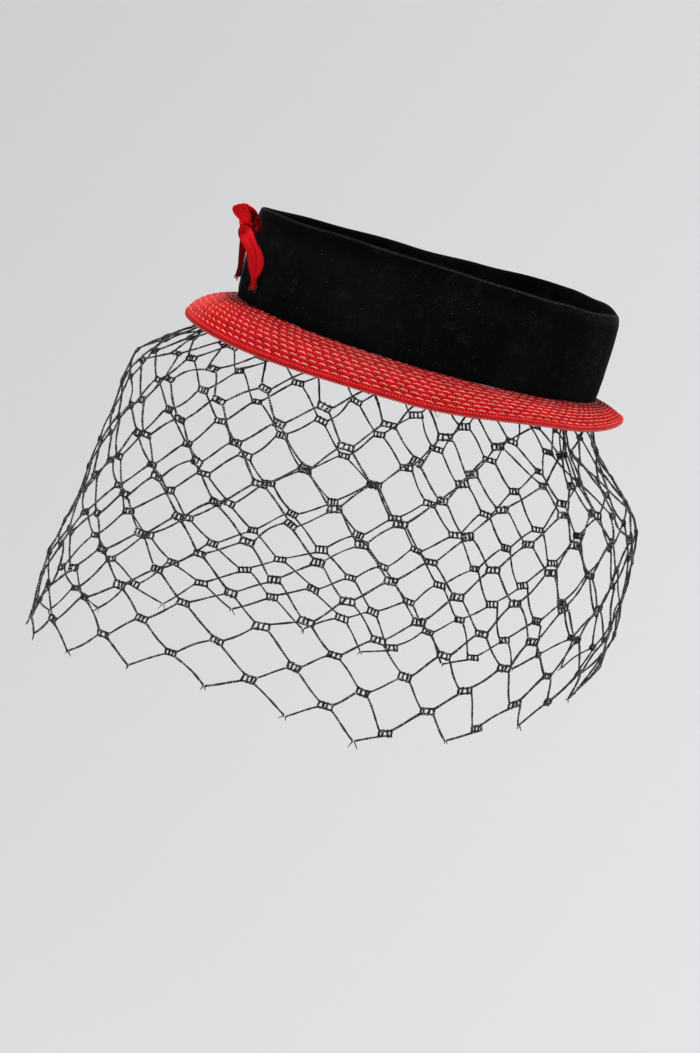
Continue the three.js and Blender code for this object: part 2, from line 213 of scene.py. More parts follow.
class BrimSettings(bpy.types.PropertyGroup):
    """Sizes and colours of the straw braid brim."""

    thickness: length("Thickness", "Thickness of the sewn braid", 1.8 * MM)
    ridge: length("Ridge", "Height of a braid row over the seams beside it", 0.5 * MM)
    strand: length("Strand", "Radius of a plaited straw", 0.3 * MM)
    rise: length("Rise", "Height of a plait's arch", 0.6 * MM)
    rows: count("Rows", "Rows of braid from crown to edge", 9)
    plaits: count("Plaits", "Plaits in each row", 126)
    edge_beads: count("Edge beads", "Beads of straw in each row round the brim's edge", 410)
    straw_colour: colour("Straw", "Colour of the straw", (0.66, 0.0085, 0.0105))
    # Painted highlight: the pale colour laid where the straw's strands arch up
    crest_colour: colour("Crest", "Colour of the straw where it arches up", (1.0, 0.34, 0.265))
    # Painted shade: the dark colour laid deep between the strands and on the shell under the plaits
    seam_colour: colour("Seam", "Colour of the straw deep between the strands", (0.12, 0.0013, 0.0025))
    thread_colour: colour("Thread", "Colour of the loose thread end", (0.74, 0.5, 0.19))
    thread: length("Thread", "Length of the loose thread end", 3.6 * MM)


class BowSettings(bpy.types.PropertyGroup):
    """Sizes and colours of the ribbon bow."""

    thickness: length("Thickness", "Thickness of the velvet ribbon", 0.9 * MM)
    cup: length("Cup", "How far the ribbon's edges curl back", 0.5 * MM)
    knot_across: length("Knot across", "Width of the wrap round the knot", 5.2 * MM)
    knot_out: length("Knot out", "Depth of the knot from the crown outward", 7.8 * MM)
    knot_up: length("Knot up", "Height of the knot", 8.0 * MM)
    fray: length("Fray", "Length of the loose threads at the tails' cut ends", 2.2 * MM)
    ribbon_colour: colour("Ribbon", "Colour of the ribbon's pile", (0.44, 0.0055, 0.0085))
    # This dark colour is also laid as painted shade on the loops' back halves and at the knot's edges
    # towards the crown
    reverse_colour: colour("Reverse", "Colour of the ribbon's woven back", (0.085, 0.003, 0.004))


class VeilSettings(bpy.types.PropertyGroup):
    """Sizes and colours of the net veil."""

    columns: count("Columns", "Knots in one row round the net", 24)
    rows: count("Rows", "Rows of knots from seam to hem", 13)
    yarn: length("Yarn", "Width of the twisted yarn", 1.0 * MM)
    twist: length("Twist", "Length of one turn of the yarn's two plies", 2.7 * MM)
    knot_length: length("Knot length", "Length of a ladder knot", 6.0 * MM)
    knot_height: length("Knot height", "Height of a ladder knot", 2.9 * MM)
    whisker: length("Whisker", "Length of the cut ends along the hem", 2.9 * MM)
    net_colour: colour("Net", "Colour of the yarn", (0.0065, 0.0065, 0.0075))


class StageSettings(bpy.types.PropertyGroup):
    """The backdrop, the lights and the camera."""

    floor_drop: length("Floor drop", "How far the floor lies under the head opening", 1.2)
    backdrop: length("Backdrop", "Radius of the round backdrop", 5.0)
    distance: length("Distance", "How far the camera stands from the hat", 1.3)
    view_height: length("View height", "Height of the picture at the hat", 0.497)
    backdrop_colour: colour("Backdrop", "Colour of the floor and backdrop", (0.6, 0.6, 0.605))


# Shape of the hat


def eased(rows, key, place):
    """The columns of a table at each place, eased between the rows on either side."""
    keys = rows[key]
    place = np.asarray(place, float)
    after = np.clip(np.searchsorted(keys, place), 1, len(keys) - 1)
    share = np.clip((place - keys[after - 1]) / (keys[after] - keys[after - 1]), 0, 1)
    ease = (1 - np.cos(np.pi * share)) / 2
    found = {}
    for name, column in rows.items():
        before = column[after - 1]
        found[name] = before + (column[after] - before) * ease
    return found


def curved(rows, share):
    """The columns of a table of evenly spaced rows, on a smooth curve through all of them."""
    last = len(next(iter(rows.values()))) - 1
    place = np.clip(np.asarray(share, float), 0, 1) * last
    start = np.minimum(place.astype(int), last - 1)
    t = place - start
    found = {}
    for name, column in rows.items():
        before, here, after, beyond = (column[np.clip(start + step, 0, last)] for step in (-1, 0, 1, 2))
        slope_in = (after - before) / 2
        slope_out = (beyond - here) / 2
        rise = after - here
        bend = 3 * rise - 2 * slope_in - slope_out
        found[name] = here + t * (slope_in + t * (bend + t * (slope_in + slope_out - 2 * rise)))
    return found


def bell(place, middle, reach):
    """A smooth bump of height one round a middle place."""
    return np.exp(-(((place - middle) / reach) ** 2))


def whole_turn(steps):
    """Even turns all the way round."""
    return np.linspace(0, TURN, steps, endpoint=False)


def stacked(x, y, z):
    """Points from their three coordinates."""
    return np.stack(np.broadcast_arrays(x, y, z), axis=-1).astype(float)


def unit(vectors):
    """Vectors at length one."""
    return vectors / np.maximum(np.linalg.norm(vectors, axis=-1, keepdims=True), 1e-12)


def beside_oval(crown, turn, out, up):
    """A point beside the crown's foot oval: turn from the front, distance outward and height."""
    normal = unit(stacked(np.sin(turn) / crown.half_width, -np.cos(turn) / crown.half_length, 0))
    foot = stacked(crown.half_width * np.sin(turn), -crown.half_length * np.cos(turn), up)
    return foot + normal * np.asarray(out)[..., None]


def foot_level(crown, turn):
    """Height of the crown's foot, which dips at the sides."""
    return -crown.side_dip * np.sin(turn) ** 2


def even_turns(crown, places):
    """Turns at even distances along the crown's foot, for places counted as shares of the way round."""
    turns = np.linspace(0, TURN, 721)
    steps = np.linalg.norm(np.diff(beside_oval(crown, turns, 0 * turns, 0), axis=0), axis=1)
    along = np.concatenate([[0], np.cumsum(steps)])
    places = np.asarray(places, float)
    return np.interp(places % 1, along / along[-1], turns) + TURN * np.floor(places)


def crown_out(turn, up):
    """How far the crown's wall stands out from its foot."""
    belly = eased(CROWN_SECTIONS, "angle", np.degrees(turn) % 360)["belly"]
    return MM * belly * eased(CROWN_PROFILE, "up", up)["out"]


def crown_height(turn):
    """Height of the crown above its foot."""
    return MM * eased(CROWN_SECTIONS, "angle", np.degrees(turn) % 360)["height"]


def brim_point(crown, turn, across, lift):
    """A point on the brim: across runs from the crown's foot to the edge, lift is off the braid's face."""
    angle = np.degrees(turn) % 360
    from_front = np.minimum(angle, 360 - angle)
    row = eased(BRIM_SECTIONS, "angle", from_front)
    foot = np.radians(row["foot_slope"])
    arc = np.radians(row["edge_slope"]) - foot
    slope = foot + arc * across
    lift = lift + FRONT_SPRING * np.sin(np.pi * across**2) * bell(from_front, 0, SPRING_REACH)
    reach = MM * row["width"] / arc
    out = reach * (np.sin(slope) - np.sin(foot)) + lift * np.sin(slope)
    drop = reach * (np.cos(foot) - np.cos(slope)) - lift * np.cos(slope)
    return beside_oval(crown, turn, out, foot_level(crown, turn) - drop)


def brim_steps(crown, turn, across, lift):
    """How fast a point on the brim moves along its row and down towards the edge."""
    step = 1e-3
    along = brim_point(crown, turn + step, across, lift) - brim_point(crown, turn - step, across, lift)
    down = brim_point(crown, turn, across + step, lift) - brim_point(crown, turn, across - step, lift)
    return along / (2 * step), down / (2 * step)


def veil_point(round_share, down):
    """A point on the hanging net: the share of the way round from the front, and down from seam to hem."""
    turn = TURN * round_share
    facing = np.cos(turn)
    level = curved(VEIL_LEVELS, down)
    reach = np.where(facing > 0, level["front"], level["back"])
    drop = np.where(facing > 0, level["front_drop"], level["back_drop"])
    fall = level["side_drop"] + (drop - level["side_drop"]) * facing**2
    return MM * stacked(level["side"] * np.sin(turn), -reach * facing, -fall)


# Meshes


def link(name, data):
    """A new object at the origin that holds a mesh, a light or a camera."""
    piece = bpy.data.objects.new(name, data)
    bpy.context.scene.collection.objects.link(piece)
    return piece


def keep_marks(mesh, marks):
    """Named values or vectors at a mesh's points."""
    for label, values in marks.items():
        values = np.asarray(values, np.float32)
        kind, key = ("FLOAT_VECTOR", "vector") if values.shape[-1] == 3 else ("FLOAT", "value")
        mesh.attributes.new(label, kind, "POINT").data.foreach_set(key, values.ravel())


def mesh_piece(name, points, faces, material, **marks):
    """A smooth mesh object from points and faces, with its material and named values at its points."""
    mesh = bpy.data.meshes.new(name)
    mesh.from_pydata(np.asarray(points, float).reshape(-1, 3).tolist(), [], faces)
    mesh.polygons.foreach_set("use_smooth", [True] * len(mesh.polygons))
    mesh.materials.append(material)
    keep_marks(mesh, marks)
    mesh.update()
    return link(name, mesh)


def grid_faces(rows, columns, close_rows=False, close_columns=False):
    """Quads over a grid of points, joined to its own start where it closes."""
    faces = []
    for i in range(rows if close_rows else rows - 1):
        here = i * columns
        below = (i + 1) % rows * columns
        for j in range(columns if close_columns else columns - 1):
            beside = (j + 1) % columns
            faces.append((here + j, below + j, below + beside, here + beside))
    return faces


def flipped(faces):
    """Faces turned the other way round."""
    return [tuple(reversed(face)) for face in faces]


def cells(rows, columns):
    """The row and the column of each cell of a grid."""
    return np.divmod(np.arange(rows * columns), columns)


def ring_piece(name, section_at, steps, material, **marks):
    """A closed ring through closed outlines, each going outside-in, with values marked on it."""
    points = section_at(whole_turn(steps)[:, None])
    faces = grid_faces(steps, points.shape[1], True, True)
    spread = {label: np.broadcast_to(values, points.shape[:2]).ravel() for label, values in marks.items()}
    return mesh_piece(name, points, faces, material, **spread)


def thick_sheet(name, points, normals, thickness, back, lustre, material):
    """A closed sheet over a grid of points; each row gives the share of the dark back colour on its front
    face, for the woven back and for painted shade, and the painted light on both faces.
    """
    rows, columns = points.shape[:2]
    half = thickness / 2
    layer = rows * columns
    front = np.arange(layer).reshape(rows, columns)
    faces = grid_faces(rows, columns)
    faces += [tuple(layer + i for i in face) for face in flipped(faces)]
    for edge in (front[0], front[::-1, 0], front[-1, ::-1], front[:, -1]):
        for a, b in zip(edge.tolist(), edge[1:].tolist()):
            faces.append((a, b, b + layer, a + layer))
    both = np.concatenate([points + half * normals, points - half * normals])
    wear = np.concatenate([np.repeat(back, columns), np.zeros(layer)])
    down, over = np.meshgrid(np.arange(rows), np.arange(columns), indexing="ij")
    weave = np.tile(stacked(over / (columns - 1), down / (rows - 1), 0).reshape(-1, 3), (2, 1))
    lustre = np.tile(np.repeat(lustre, columns), 2)
    return mesh_piece(name, both, faces, material, wear=wear, weave=weave, lustre=lustre)


def dress(piece, node=None):
    """Ties a finished piece to the hat and hides the solid that it stands for."""
    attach(piece, "root")
    if node:
        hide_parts(node)
    return piece


# Node trees


def add_node(tree, kind, fill=None, **settings):
    """A node with its properties set and its inputs filled by values or other nodes' outputs."""
    node = tree.nodes.new(kind)
    for name, value in settings.items():
        setattr(node, name, value)
    for name, value in (fill or {}).items():
        if isinstance(value, bpy.types.NodeSocket):
            tree.links.new(value, node.inputs[name])
        else:
            node.inputs[name].default_value = value
    return node


def made(tree, kind, fill=None, **settings):
    """The first output of a new node."""
    return add_node(tree, kind, fill, **settings).outputs[0]


def times(tree, value, factor):
    """A value multiplied inside a tree."""
    return made(tree, "ShaderNodeMath", {0: value, 1: factor}, operation="MULTIPLY")


def plus(tree, value, other):
    """A value added to another inside a tree."""
    return made(tree, "ShaderNodeMath", {0: value, 1: other}, operation="ADD")


def vector(tree, x, y, z):
    """A vector from three values inside a tree."""
    return made(tree, "ShaderNodeCombineXYZ", {"X": x, "Y": y, "Z": z})


SOCKETS = {"float": "NodeSocketFloat", "int": "NodeSocketInt", "material": "NodeSocketMaterial"}
YARN_SIDES = 6


def new_tree(name, inputs):
    """An empty geometry tree with named inputs, and its input node's outputs by name."""
    tree = bpy.data.node_groups.new(name, "GeometryNodeTree")
    tree.interface.new_socket("Geometry", in_out="INPUT", socket_type="NodeSocketGeometry")
    tree.interface.new_socket("Geometry", in_out="OUTPUT", socket_type="NodeSocketGeometry")
    for label, kind in inputs.items():
        tree.interface.new_socket(label, in_out="INPUT", socket_type=SOCKETS[kind])
    return tree, add_node(tree, "NodeGroupInput").outputs


def end_tree(tree, geometry, material):
    """Realizes what a tree made, shades it smooth and gives it its material."""
    real = made(tree, "GeometryNodeRealizeInstances", {"Geometry": geometry})
    smooth = made(tree, "GeometryNodeSetShadeSmooth", {0: real})
    finished = made(tree, "GeometryNodeSetMaterial", {"Geometry": smooth, "Material": material})
    add_node(tree, "NodeGroupOutput", {0: finished})


def named(tree, name, data_type="FLOAT_VECTOR"):
    """What each point of the guide carries under a name."""
    return made(tree, "GeometryNodeInputNamedAttribute", {"Name": name}, data_type=data_type)


def on_points(tree, points, instance):
    """Copies of a shape on the guide's points, turned to their axes and scaled to their place."""
    axes = {0: named(tree, "normal_axis"), 1: named(tree, "row_axis")}
    turn = made(tree, "FunctionNodeAxesToRotation", axes, primary_axis="Z", secondary_axis="X")
    fill = {"Points": points, "Instance": instance, "Rotation": turn, "Scale": named(tree, "place_scale")}
    return made(tree, "GeometryNodeInstanceOnPoints", fill)


def joined(tree, *parts):
    """Geometry joined inside a tree."""
    join = add_node(tree, "GeometryNodeJoinGeometry")
    for part in parts:
        tree.links.new(part, join.inputs[0])
    return join.outputs[0]


def marked(tree, geometry, name, value, data_type="FLOAT"):
    """Geometry whose points carry a named value."""
    fill = {"Geometry": geometry, "Name": name, "Value": value}
    return made(tree, "GeometryNodeStoreNamedAttribute", fill, data_type=data_type, domain="POINT")


def round_profile(tree, sides, radius):
    """A circle to sweep along a curve."""
    return made(tree, "GeometryNodeCurvePrimitiveCircle", {"Resolution": sides, "Radius": radius})


def swept(tree, path, profile, scale=1.0):
    """A profile swept along a path, scaled on its way, with closed ends."""
    fill = {"Curve": path, "Profile Curve": profile, "Scale": scale, "Fill Caps": True}
    return made(tree, "GeometryNodeCurveToMesh", fill)


def arc(tree, start, middle, end, steps):
    """A curved path between two points, drawn towards a third."""
    fill = {"Resolution": steps, "Start": start, "Middle": middle, "End": end}
    return made(tree, "GeometryNodeCurveQuadraticBezier", fill)


def grown(name, guide, tree, values):
    """What a tree grows on a guide, as a plain mesh object; the guide goes."""
    modifier = guide.modifiers.new("grow", "NODES")
    modifier.node_group = tree
    for item in tree.interface.items_tree:
        if item.in_out == "INPUT" and item.name in values:
            modifier[item.identifier] = values[item.name]
    depsgraph = bpy.context.evaluated_depsgraph_get()
    mesh = bpy.data.meshes.new_from_object(guide.evaluated_get(depsgraph), depsgraph=depsgraph)
    guide.modifiers.remove(modifier)
    bpy.data.objects.remove(guide)
    if not len(mesh.polygons):
        raise RuntimeError(f"{name} has no faces")
    mesh.name = name
    return link(name, mesh)


def point_guide(name, points, **axes):
    """Loose points, each with the vectors and values that a tree reads."""
    mesh = bpy.data.meshes.new(name)
    mesh.from_pydata(points.tolist(), [], [])
    keep_marks(mesh, axes)
    return link(name, mesh)


def path_guide(name, paths, widths):
    """Separate open paths as edges, with a width at each point."""
    mesh = bpy.data.meshes.new(name)
    edges = []
    start = 0
    for path in paths:
        edges += [(i, i + 1) for i in range(start, start + len(path) - 1)]
        start += len(path)
    mesh.from_pydata(np.concatenate(paths).tolist(), edges, [])
    keep_marks(mesh, {"width": np.concatenate(widths)})
    return link(name, mesh)


def yarn_tree():
    """Yarn swept along paths, carrying the way along and around it for its twist."""
    tree, given = new_tree("Twisted Yarn", {"Yarn": "float", "Step": "float", "Material": "material"})
    path = made(tree, "GeometryNodeMeshToCurve", {"Mesh": given["Geometry"]})
    even = made(tree, "GeometryNodeResampleCurve", {"Curve": path, "Length": given["Step"]}, mode="LENGTH")
    place = add_node(tree, "GeometryNodeSplineParameter").outputs
    along = marked(tree, even, "along", place["Length"])
    lobes = times(tree, place["Factor"], 2 * TURN)
    cosine = made(tree, "ShaderNodeMath", {0: lobes}, operation="COSINE")
    sine = made(tree, "ShaderNodeMath", {0: lobes}, operation="SINE")
    profile = round_profile(tree, YARN_SIDES, given["Yarn"])
    around = marked(tree, profile, "around", vector(tree, cosine, sine, 0), "FLOAT_VECTOR")
    lumps = {"Min": 0.78, "Max": 1.2, "Seed": 4}
    lump = add_node(tree, "FunctionNodeRandomValue", lumps, data_type="FLOAT").outputs["Value"]
    width = times(tree, named(tree, "width", "FLOAT"), lump)
    end_tree(tree, swept(tree, along, around, width), given["Material"])
    return tree


def spun(name, paths, widths, tree, yarn_width, step, material):
    """Yarn along open paths, as a plain mesh object."""
    guide = path_guide(name + "_guide", paths, widths)
    return grown(name, guide, tree, {"Yarn": yarn_width / 2, "Step": step, "Material": material})


# Finishes

# Sizes of the patterns in the finishes, in cells per metre
BRUSH_MARKS = 34
DUST_PATCHES = 140
WORN_GAPS = 620
PILE_GRAIN = 1300
PILE_TUFTS = 1500
STRAW_PATCHES = 260
STRAW_FIBRES = 2600
YARN_GLINTS = 420
THREAD_SHADES = 900


def new_material(name, **sockets):
    """A material, its tree and its main shader, with the values that are the same all over it."""
    material = bpy.data.materials.new(name)
    material.use_nodes = True
    tree = material.node_tree
    shader = tree.nodes["Principled BSDF"]
    for label, value in sockets.items():
        shader.inputs[label.replace("_", " ")].default_value = value
    return material, tree, shader


def noise(tree, scale, detail, stretch=(1, 1, 1)):
    """Noise over the object's own coordinates."""
    place = add_node(tree, "ShaderNodeTexCoord").outputs["Object"]
    mapped = made(tree, "ShaderNodeMapping", {"Vector": place, "Scale": stretch})
    return made(tree, "ShaderNodeTexNoise", {"Vector": mapped, "Scale": scale, "Detail": detail})


def ramp(tree, value, *stops):
    """A colour that follows a value, from stops of place and linear colour."""
    node = add_node(tree, "ShaderNodeValToRGB", {"Fac": value})
    elements = node.color_ramp.elements
    while len(elements) < len(stops):
        elements.new(0.5)
    for element, (place, shade) in zip(elements, stops):
        element.position = place
        element.color = (*shade, 1)
    return node.outputs[0]


def bumped(tree, shader, height, strength, depth):
    """Fine relief on a shader."""
    fill = {"Height": height, "Strength": strength, "Distance": depth}
    tree.links.new(made(tree, "ShaderNodeBump", fill), shader.inputs["Normal"])


def grey(value):
    """A neutral colour."""
    return (value,) * 3


def tone(shade, factor):
    """A colour made lighter or darker."""
    return tuple(min(1.0, part * factor) for part in shade)


def mixed(tree, share, low, high):
    """A colour between two others."""
    return add_node(tree, "ShaderNodeMix", {0: share, 6: low, 7: high}, data_type="RGBA").outputs[2]


def multiplied(tree, shade, factor):
    """A colour multiplied by another colour or by a value."""
    fill = {0: 1.0, 6: shade, 7: factor}
    return add_node(tree, "ShaderNodeMix", fill, data_type="RGBA", blend_type="MULTIPLY").outputs[2]


def mark(tree, name):
    """A named value at the mesh's points."""
    return add_node(tree, "ShaderNodeAttribute", attribute_name=name).outputs["Fac"]


def mark_vector(tree, name):
    """A named vector at the mesh's points."""
    return add_node(tree, "ShaderNodeAttribute", attribute_name=name).outputs["Vector"]


def velvet(name, shade, worn, sheen, tint, contrast, pile, grain, dust):
    """Short pile velvet in brushed patches, with a soft sheen, painted light that scales its colour, and a
    second colour laid by a mark: painted sheen on the crown's rim, the woven back and painted shade on the
    ribbon.
    """
    material, tree, shader = new_material(
        name,
        Roughness=0.95,
        Specular_IOR_Level=0.02,
        Sheen_Weight=sheen,
        Sheen_Roughness=0.2,
        Sheen_Tint=(*tint, 1),
    )
    nap = ramp(tree, pile(tree), (0.3, tone(shade, 1 - contrast)), (0.7, tone(shade, 1 + contrast)))
    # Painted light and shade: a mark scales the nap's colour lighter or darker
    lit = plus(tree, mark(tree, "lustre"), 1)
    fine = ramp(tree, noise(tree, PILE_GRAIN, 2), (0.3, grey(1 - grain)), (0.7, grey(1 + grain)))
    nap = multiplied(tree, multiplied(tree, nap, lit), fine)
    smudge = ramp(tree, noise(tree, DUST_PATCHES, 8), (0.57, grey(0)), (0.74, grey(dust)))
    # The second colour, broken into patches: painted sheen on the crown's rim, the woven back and painted
    # shade on the ribbon; the dust smudges take it too
    broken = ramp(tree, noise(tree, WORN_GAPS, 3), (0.36, grey(1 - 2 * grain)), (0.64, grey(1 + grain)))
    share = plus(tree, times(tree, mark(tree, "wear"), broken), smudge)
    tree.links.new(mixed(tree, share, nap, (*worn, 1)), shader.inputs["Base Color"])
    bumped(tree, shader, noise(tree, PILE_TUFTS, 3), grain, 0.25 * MM)
    return material


def brushed(tree):
    """Broad patches where a hand has brushed the pile."""
    return noise(tree, BRUSH_MARKS, 7, (1, 1, 0.55))


def streaked(tree):
    """Fine streaks along a ribbon."""
    mapped = made(tree, "ShaderNodeMapping", {"Vector": mark_vector(tree, "weave"), "Scale": (9, 1.6, 1)})
    return made(tree, "ShaderNodeTexNoise", {"Vector": mapped, "Scale": 1.5, "Detail": 3})


def straw(name, brim, roughness, gloss):
    """Dyed straw, with painted shade deep in the gaps and near the crown, painted highlights along the
    arched strands and a painted grazing sheen at the front.
    """
    material, tree, shader = new_material(name, Roughness=roughness, Specular_IOR_Level=gloss)
    stops = ((0, brim.seam_colour), (0.5, brim.straw_colour), (1, brim.crest_colour))
    crest = mark(tree, "crest")
    faded = times(tree, plus(tree, crest, -0.5), mark(tree, "faded"))
    raised = plus(tree, crest, mark(tree, "pale"))
    body = ramp(tree, plus(tree, raised, times(tree, faded, -1)), *stops)
    patch = ramp(tree, noise(tree, STRAW_PATCHES, 3), (0.3, grey(0.72)), (0.7, grey(1)))
    lit = plus(tree, times(tree, mark(tree, "dim"), -1), 1)
    worn = multiplied(tree, multiplied(tree, body, patch), lit)
    tree.links.new(worn, shader.inputs["Base Color"])
    bumped(tree, shader, noise(tree, STRAW_FIBRES, 2), 0.15, 0.05 * MM)
    return material


def yarn(veil):
    """Black two-ply yarn, with a painted glint in its colour and a bump on each turn of its plies."""
    material, tree, shader = new_material("black_net", Roughness=0.28, Specular_IOR_Level=0.4)
    slant = made(tree, "ShaderNodeSeparateXYZ", {0: mark_vector(tree, "around")})
    turn = plus(tree, times(tree, mark(tree, "along"), 2 * TURN / veil.twist), times(tree, slant, 0.7))
    plies = made(tree, "ShaderNodeMath", {0: turn}, operation="SINE")
    high = plus(tree, times(tree, plies, 0.5), 0.5)
    dark, light = tone(veil.net_colour, 0.5), tone(veil.net_colour, 48)
    glint = ramp(tree, noise(tree, YARN_GLINTS, 2), (0.35, grey(0.25)), (0.65, grey(1.2)))
    shade = ramp(tree, times(tree, high, glint), (0.35, dark), (0.7, veil.net_colour), (0.95, light))
    tree.links.new(shade, shader.inputs["Base Color"])
    bumped(tree, shader, high, 1.0, 0.3 * MM)
    return material


def plain_cloth(name, shade, roughness):
    """A plain fibre with a little variation."""
    material, tree, shader = new_material(name, Roughness=roughness)
    stops = ((0.3, tone(shade, 0.75)), (0.7, tone(shade, 1.2)))
    tree.links.new(ramp(tree, noise(tree, THREAD_SHADES, 2), *stops), shader.inputs["Base Color"])
    return material


# Crown


class TILTHAT_OT_crown(bpy.types.Operator):
    """Make the velvet band of the crown, the lint on it and its sunken tip"""

    bl_idname = "tilthat.crown"
    bl_label = "Crown"

    STEPS = 288
    SEAT = 0.3 * MM
    RIPPLE = 0.22 * MM
    SLACK = 0.16 * MM
    RIM_UP = 0.97
    RIM_POWER = 16
    TIP_RINGS = 14
    TIP_GAP = 0.35 * MM
    PUCKER = 0.12 * MM
    LINT_LENGTH = 0.65 * MM
    LINT_WIDTH = 0.045 * MM
    LINT_LEAN = 1.35

    def execute(self, context):
        crown = context.scene.tilthat_crown
        nap = velvet(
            "black_velvet",
            shade=crown.nap_colour,
            worn=crown.wear_colour,
            sheen=0.05,
            tint=(0.75, 0.82, 0.95),
            contrast=0.6,
            pile=brushed,
            grain=0.4,
            dust=0.2,
        )
        band = self.band(crown, nap)
        lint = self.lint(crown, band)
        dress(band, "crown_band")
        dress(lint)
        dress(self.tip(crown, nap), "crown_tip")
        return {"FINISHED"}

    def band(self, crown, material):
        """Up the outside, over a rolled rim and down the inside."""
        roll = crown.wall / 2
        outside = np.linspace(0, 1, 26)
        over = np.linspace(0, np.pi, 12)[1:-1]
        inside = np.linspace(1, 0, 12)

        def section(turn):
            foot = foot_level(crown, turn) + self.SEAT
            ripple = self.RIPPLE * (np.sin(5 * turn + 0.7) + 0.7 * np.sin(11 * turn + 2.1))
            slack = self.SLACK * (np.sin(3 * turn + 1) + np.sin(8 * turn + 4) * 0.6)
            top = foot_level(crown, turn) + crown_height(turn) - roll + ripple
            drawn = crown.rounding * (0.5 - 0.5 * np.cos(turn))

            def wall(up):
                return crown_out(turn, self.RIM_UP * up) - drawn * up**self.RIM_POWER

            outer_out = wall(outside) + slack * np.sin(np.pi * outside)
            outer = beside_oval(crown, turn, outer_out, foot + (top - foot) * outside)
            rim_out = crown_out(turn, self.RIM_UP) - drawn - roll
            rim = beside_oval(crown, turn, rim_out + roll * np.cos(over), top + roll * np.sin(over))
            inner = beside_oval(crown, turn, wall(inside) - crown.wall, foot + (top - foot) * inside)
            return np.concatenate([outer, rim, inner], axis=1)

        # Painted sheen along the rim's outer bend, stronger towards the back, and on the back corner;
        # painted shade on the wall just under the rim, where it draws in
        turns = whole_turn(self.STEPS)[:, None]
        behind = np.clip(-2 * np.cos(turns) - 1, 0, 1)
        rubbed = np.clip(1 - np.abs(over - 0.5) / 0.6, 0, 1)
        bend = np.concatenate([0 * outside, rubbed, 0 * inside])
        corner = np.concatenate([np.clip((outside - 0.84) / 0.16, 0, 1), 0 * over, 0 * inside])
        wear = bend * (0.7 - 0.3 * np.cos(turns)) + 0.4 * corner * behind
        shade = np.concatenate([-0.5 * np.clip((outside - 0.78) / 0.15, 0, 1), 0 * over, 0 * inside])
        return ring_piece("crown_band_velvet", section, self.STEPS, material, wear=wear, lustre=shade)

    def tip(self, crown, material):
        """A shallow dome inside the band, well below the rim."""
        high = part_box("crown_tip")[1]
        edge_level = high.z - crown.tip_dome - crown.tip_thickness / 2
        turns = whole_turn(self.STEPS)
        up = (edge_level - foot_level(crown, turns)) / crown_height(turns)
        rim = beside_oval(crown, turns, crown_out(turns, up) - crown.wall - self.TIP_GAP, 0)
        shares = np.linspace(1, 0, self.TIP_RINGS + 1)[:-1, None]
        pucker = self.PUCKER * np.sin(41 * turns) * shares**8
        level = edge_level + crown.tip_dome * (1 - shares**2) + pucker
        rings = stacked(rim[:, 0] * shares, rim[:, 1] * shares, level)
        lift = np.array([0, 0, crown.tip_thickness / 2])
        sheets = np.concatenate([rings[::-1] + lift, rings - lift]).reshape(-1, 3)
        middle = np.array([0, 0, edge_level + crown.tip_dome])
        points = np.concatenate([sheets, [middle + lift, middle - lift]])
        faces = grid_faces(2 * self.TIP_RINGS, self.STEPS, False, True)
        peak = len(sheets)
        last = peak - self.STEPS
        for i in range(self.STEPS):
            j = (i + 1) % self.STEPS
            faces.append((peak, i, j))
            faces.append((last + i, peak + 1, last + j))
        return mesh_piece("crown_tip_velvet", points, faces, material)

    def lint_tree(self):
        """Fine fibres scattered in clusters over a surface, leaning every way."""
        inputs = dict.fromkeys(("Density", "Length", "Width", "Lean"), "float")
        tree, given = new_tree("Scattered Fibres", inputs | {"Seed": "int", "Material": "material"})
        place = made(tree, "GeometryNodeInputPosition")
        patch = made(tree, "ShaderNodeTexNoise", {"Vector": place, "Scale": 45, "Detail": 2})
        cluster = made(tree, "ShaderNodeMapRange", {0: patch, 1: 0.45, 2: 0.75, 3: 0.25, 4: 5})
        density = times(tree, given["Density"], cluster)
        fill = {"Mesh": given["Geometry"], "Density": density, "Seed": given["Seed"]}
        spots = add_node(tree, "GeometryNodeDistributePointsOnFaces", fill).outputs
        width, lean = given["Width"], given["Lean"]
        cone = {"Radius Top": times(tree, width, 0.3), "Radius Bottom": width, "Depth": given["Length"]}
        fibre = made(tree, "GeometryNodeMeshCone", {"Vertices": 3} | cone)
        back = times(tree, lean, -1)
        leans = {"Min": vector(tree, back, back, -math.pi), "Max": vector(tree, lean, lean, math.pi)}
        tilt = made(tree, "FunctionNodeRandomValue", leans | {"Seed": 5}, data_type="FLOAT_VECTOR")
        sizes = {"Min": grey(0.3), "Max": grey(1), "Seed": 9}
        size = made(tree, "FunctionNodeRandomValue", sizes, data_type="FLOAT_VECTOR")
        turns = {0: spots["Rotation"], 1: made(tree, "FunctionNodeEulerToRotation", {0: tilt})}
        turned = made(tree, "FunctionNodeRotateRotation", turns, rotation_space="LOCAL")
        fill = {"Points": spots["Points"], "Instance": fibre, "Rotation": turned, "Scale": size}
        end_tree(tree, made(tree, "GeometryNodeInstanceOnPoints", fill), given["Material"])
        return tree

    def lint(self, crown, surface):
        """Lint over a copy of the band."""
        area = sum(polygon.area for polygon in surface.data.polygons)
        values = {
            "Density": crown.lint / area,
            "Length": self.LINT_LENGTH,
            "Width": self.LINT_WIDTH,
            "Lean": self.LINT_LEAN,
            "Seed": 11,
            "Material": plain_cloth("lint", crown.lint_colour, 0.9),
        }
        guide = link("crown_lint_guide", surface.data.copy())
        return grown("crown_lint", guide, self.lint_tree(), values)


# Brim


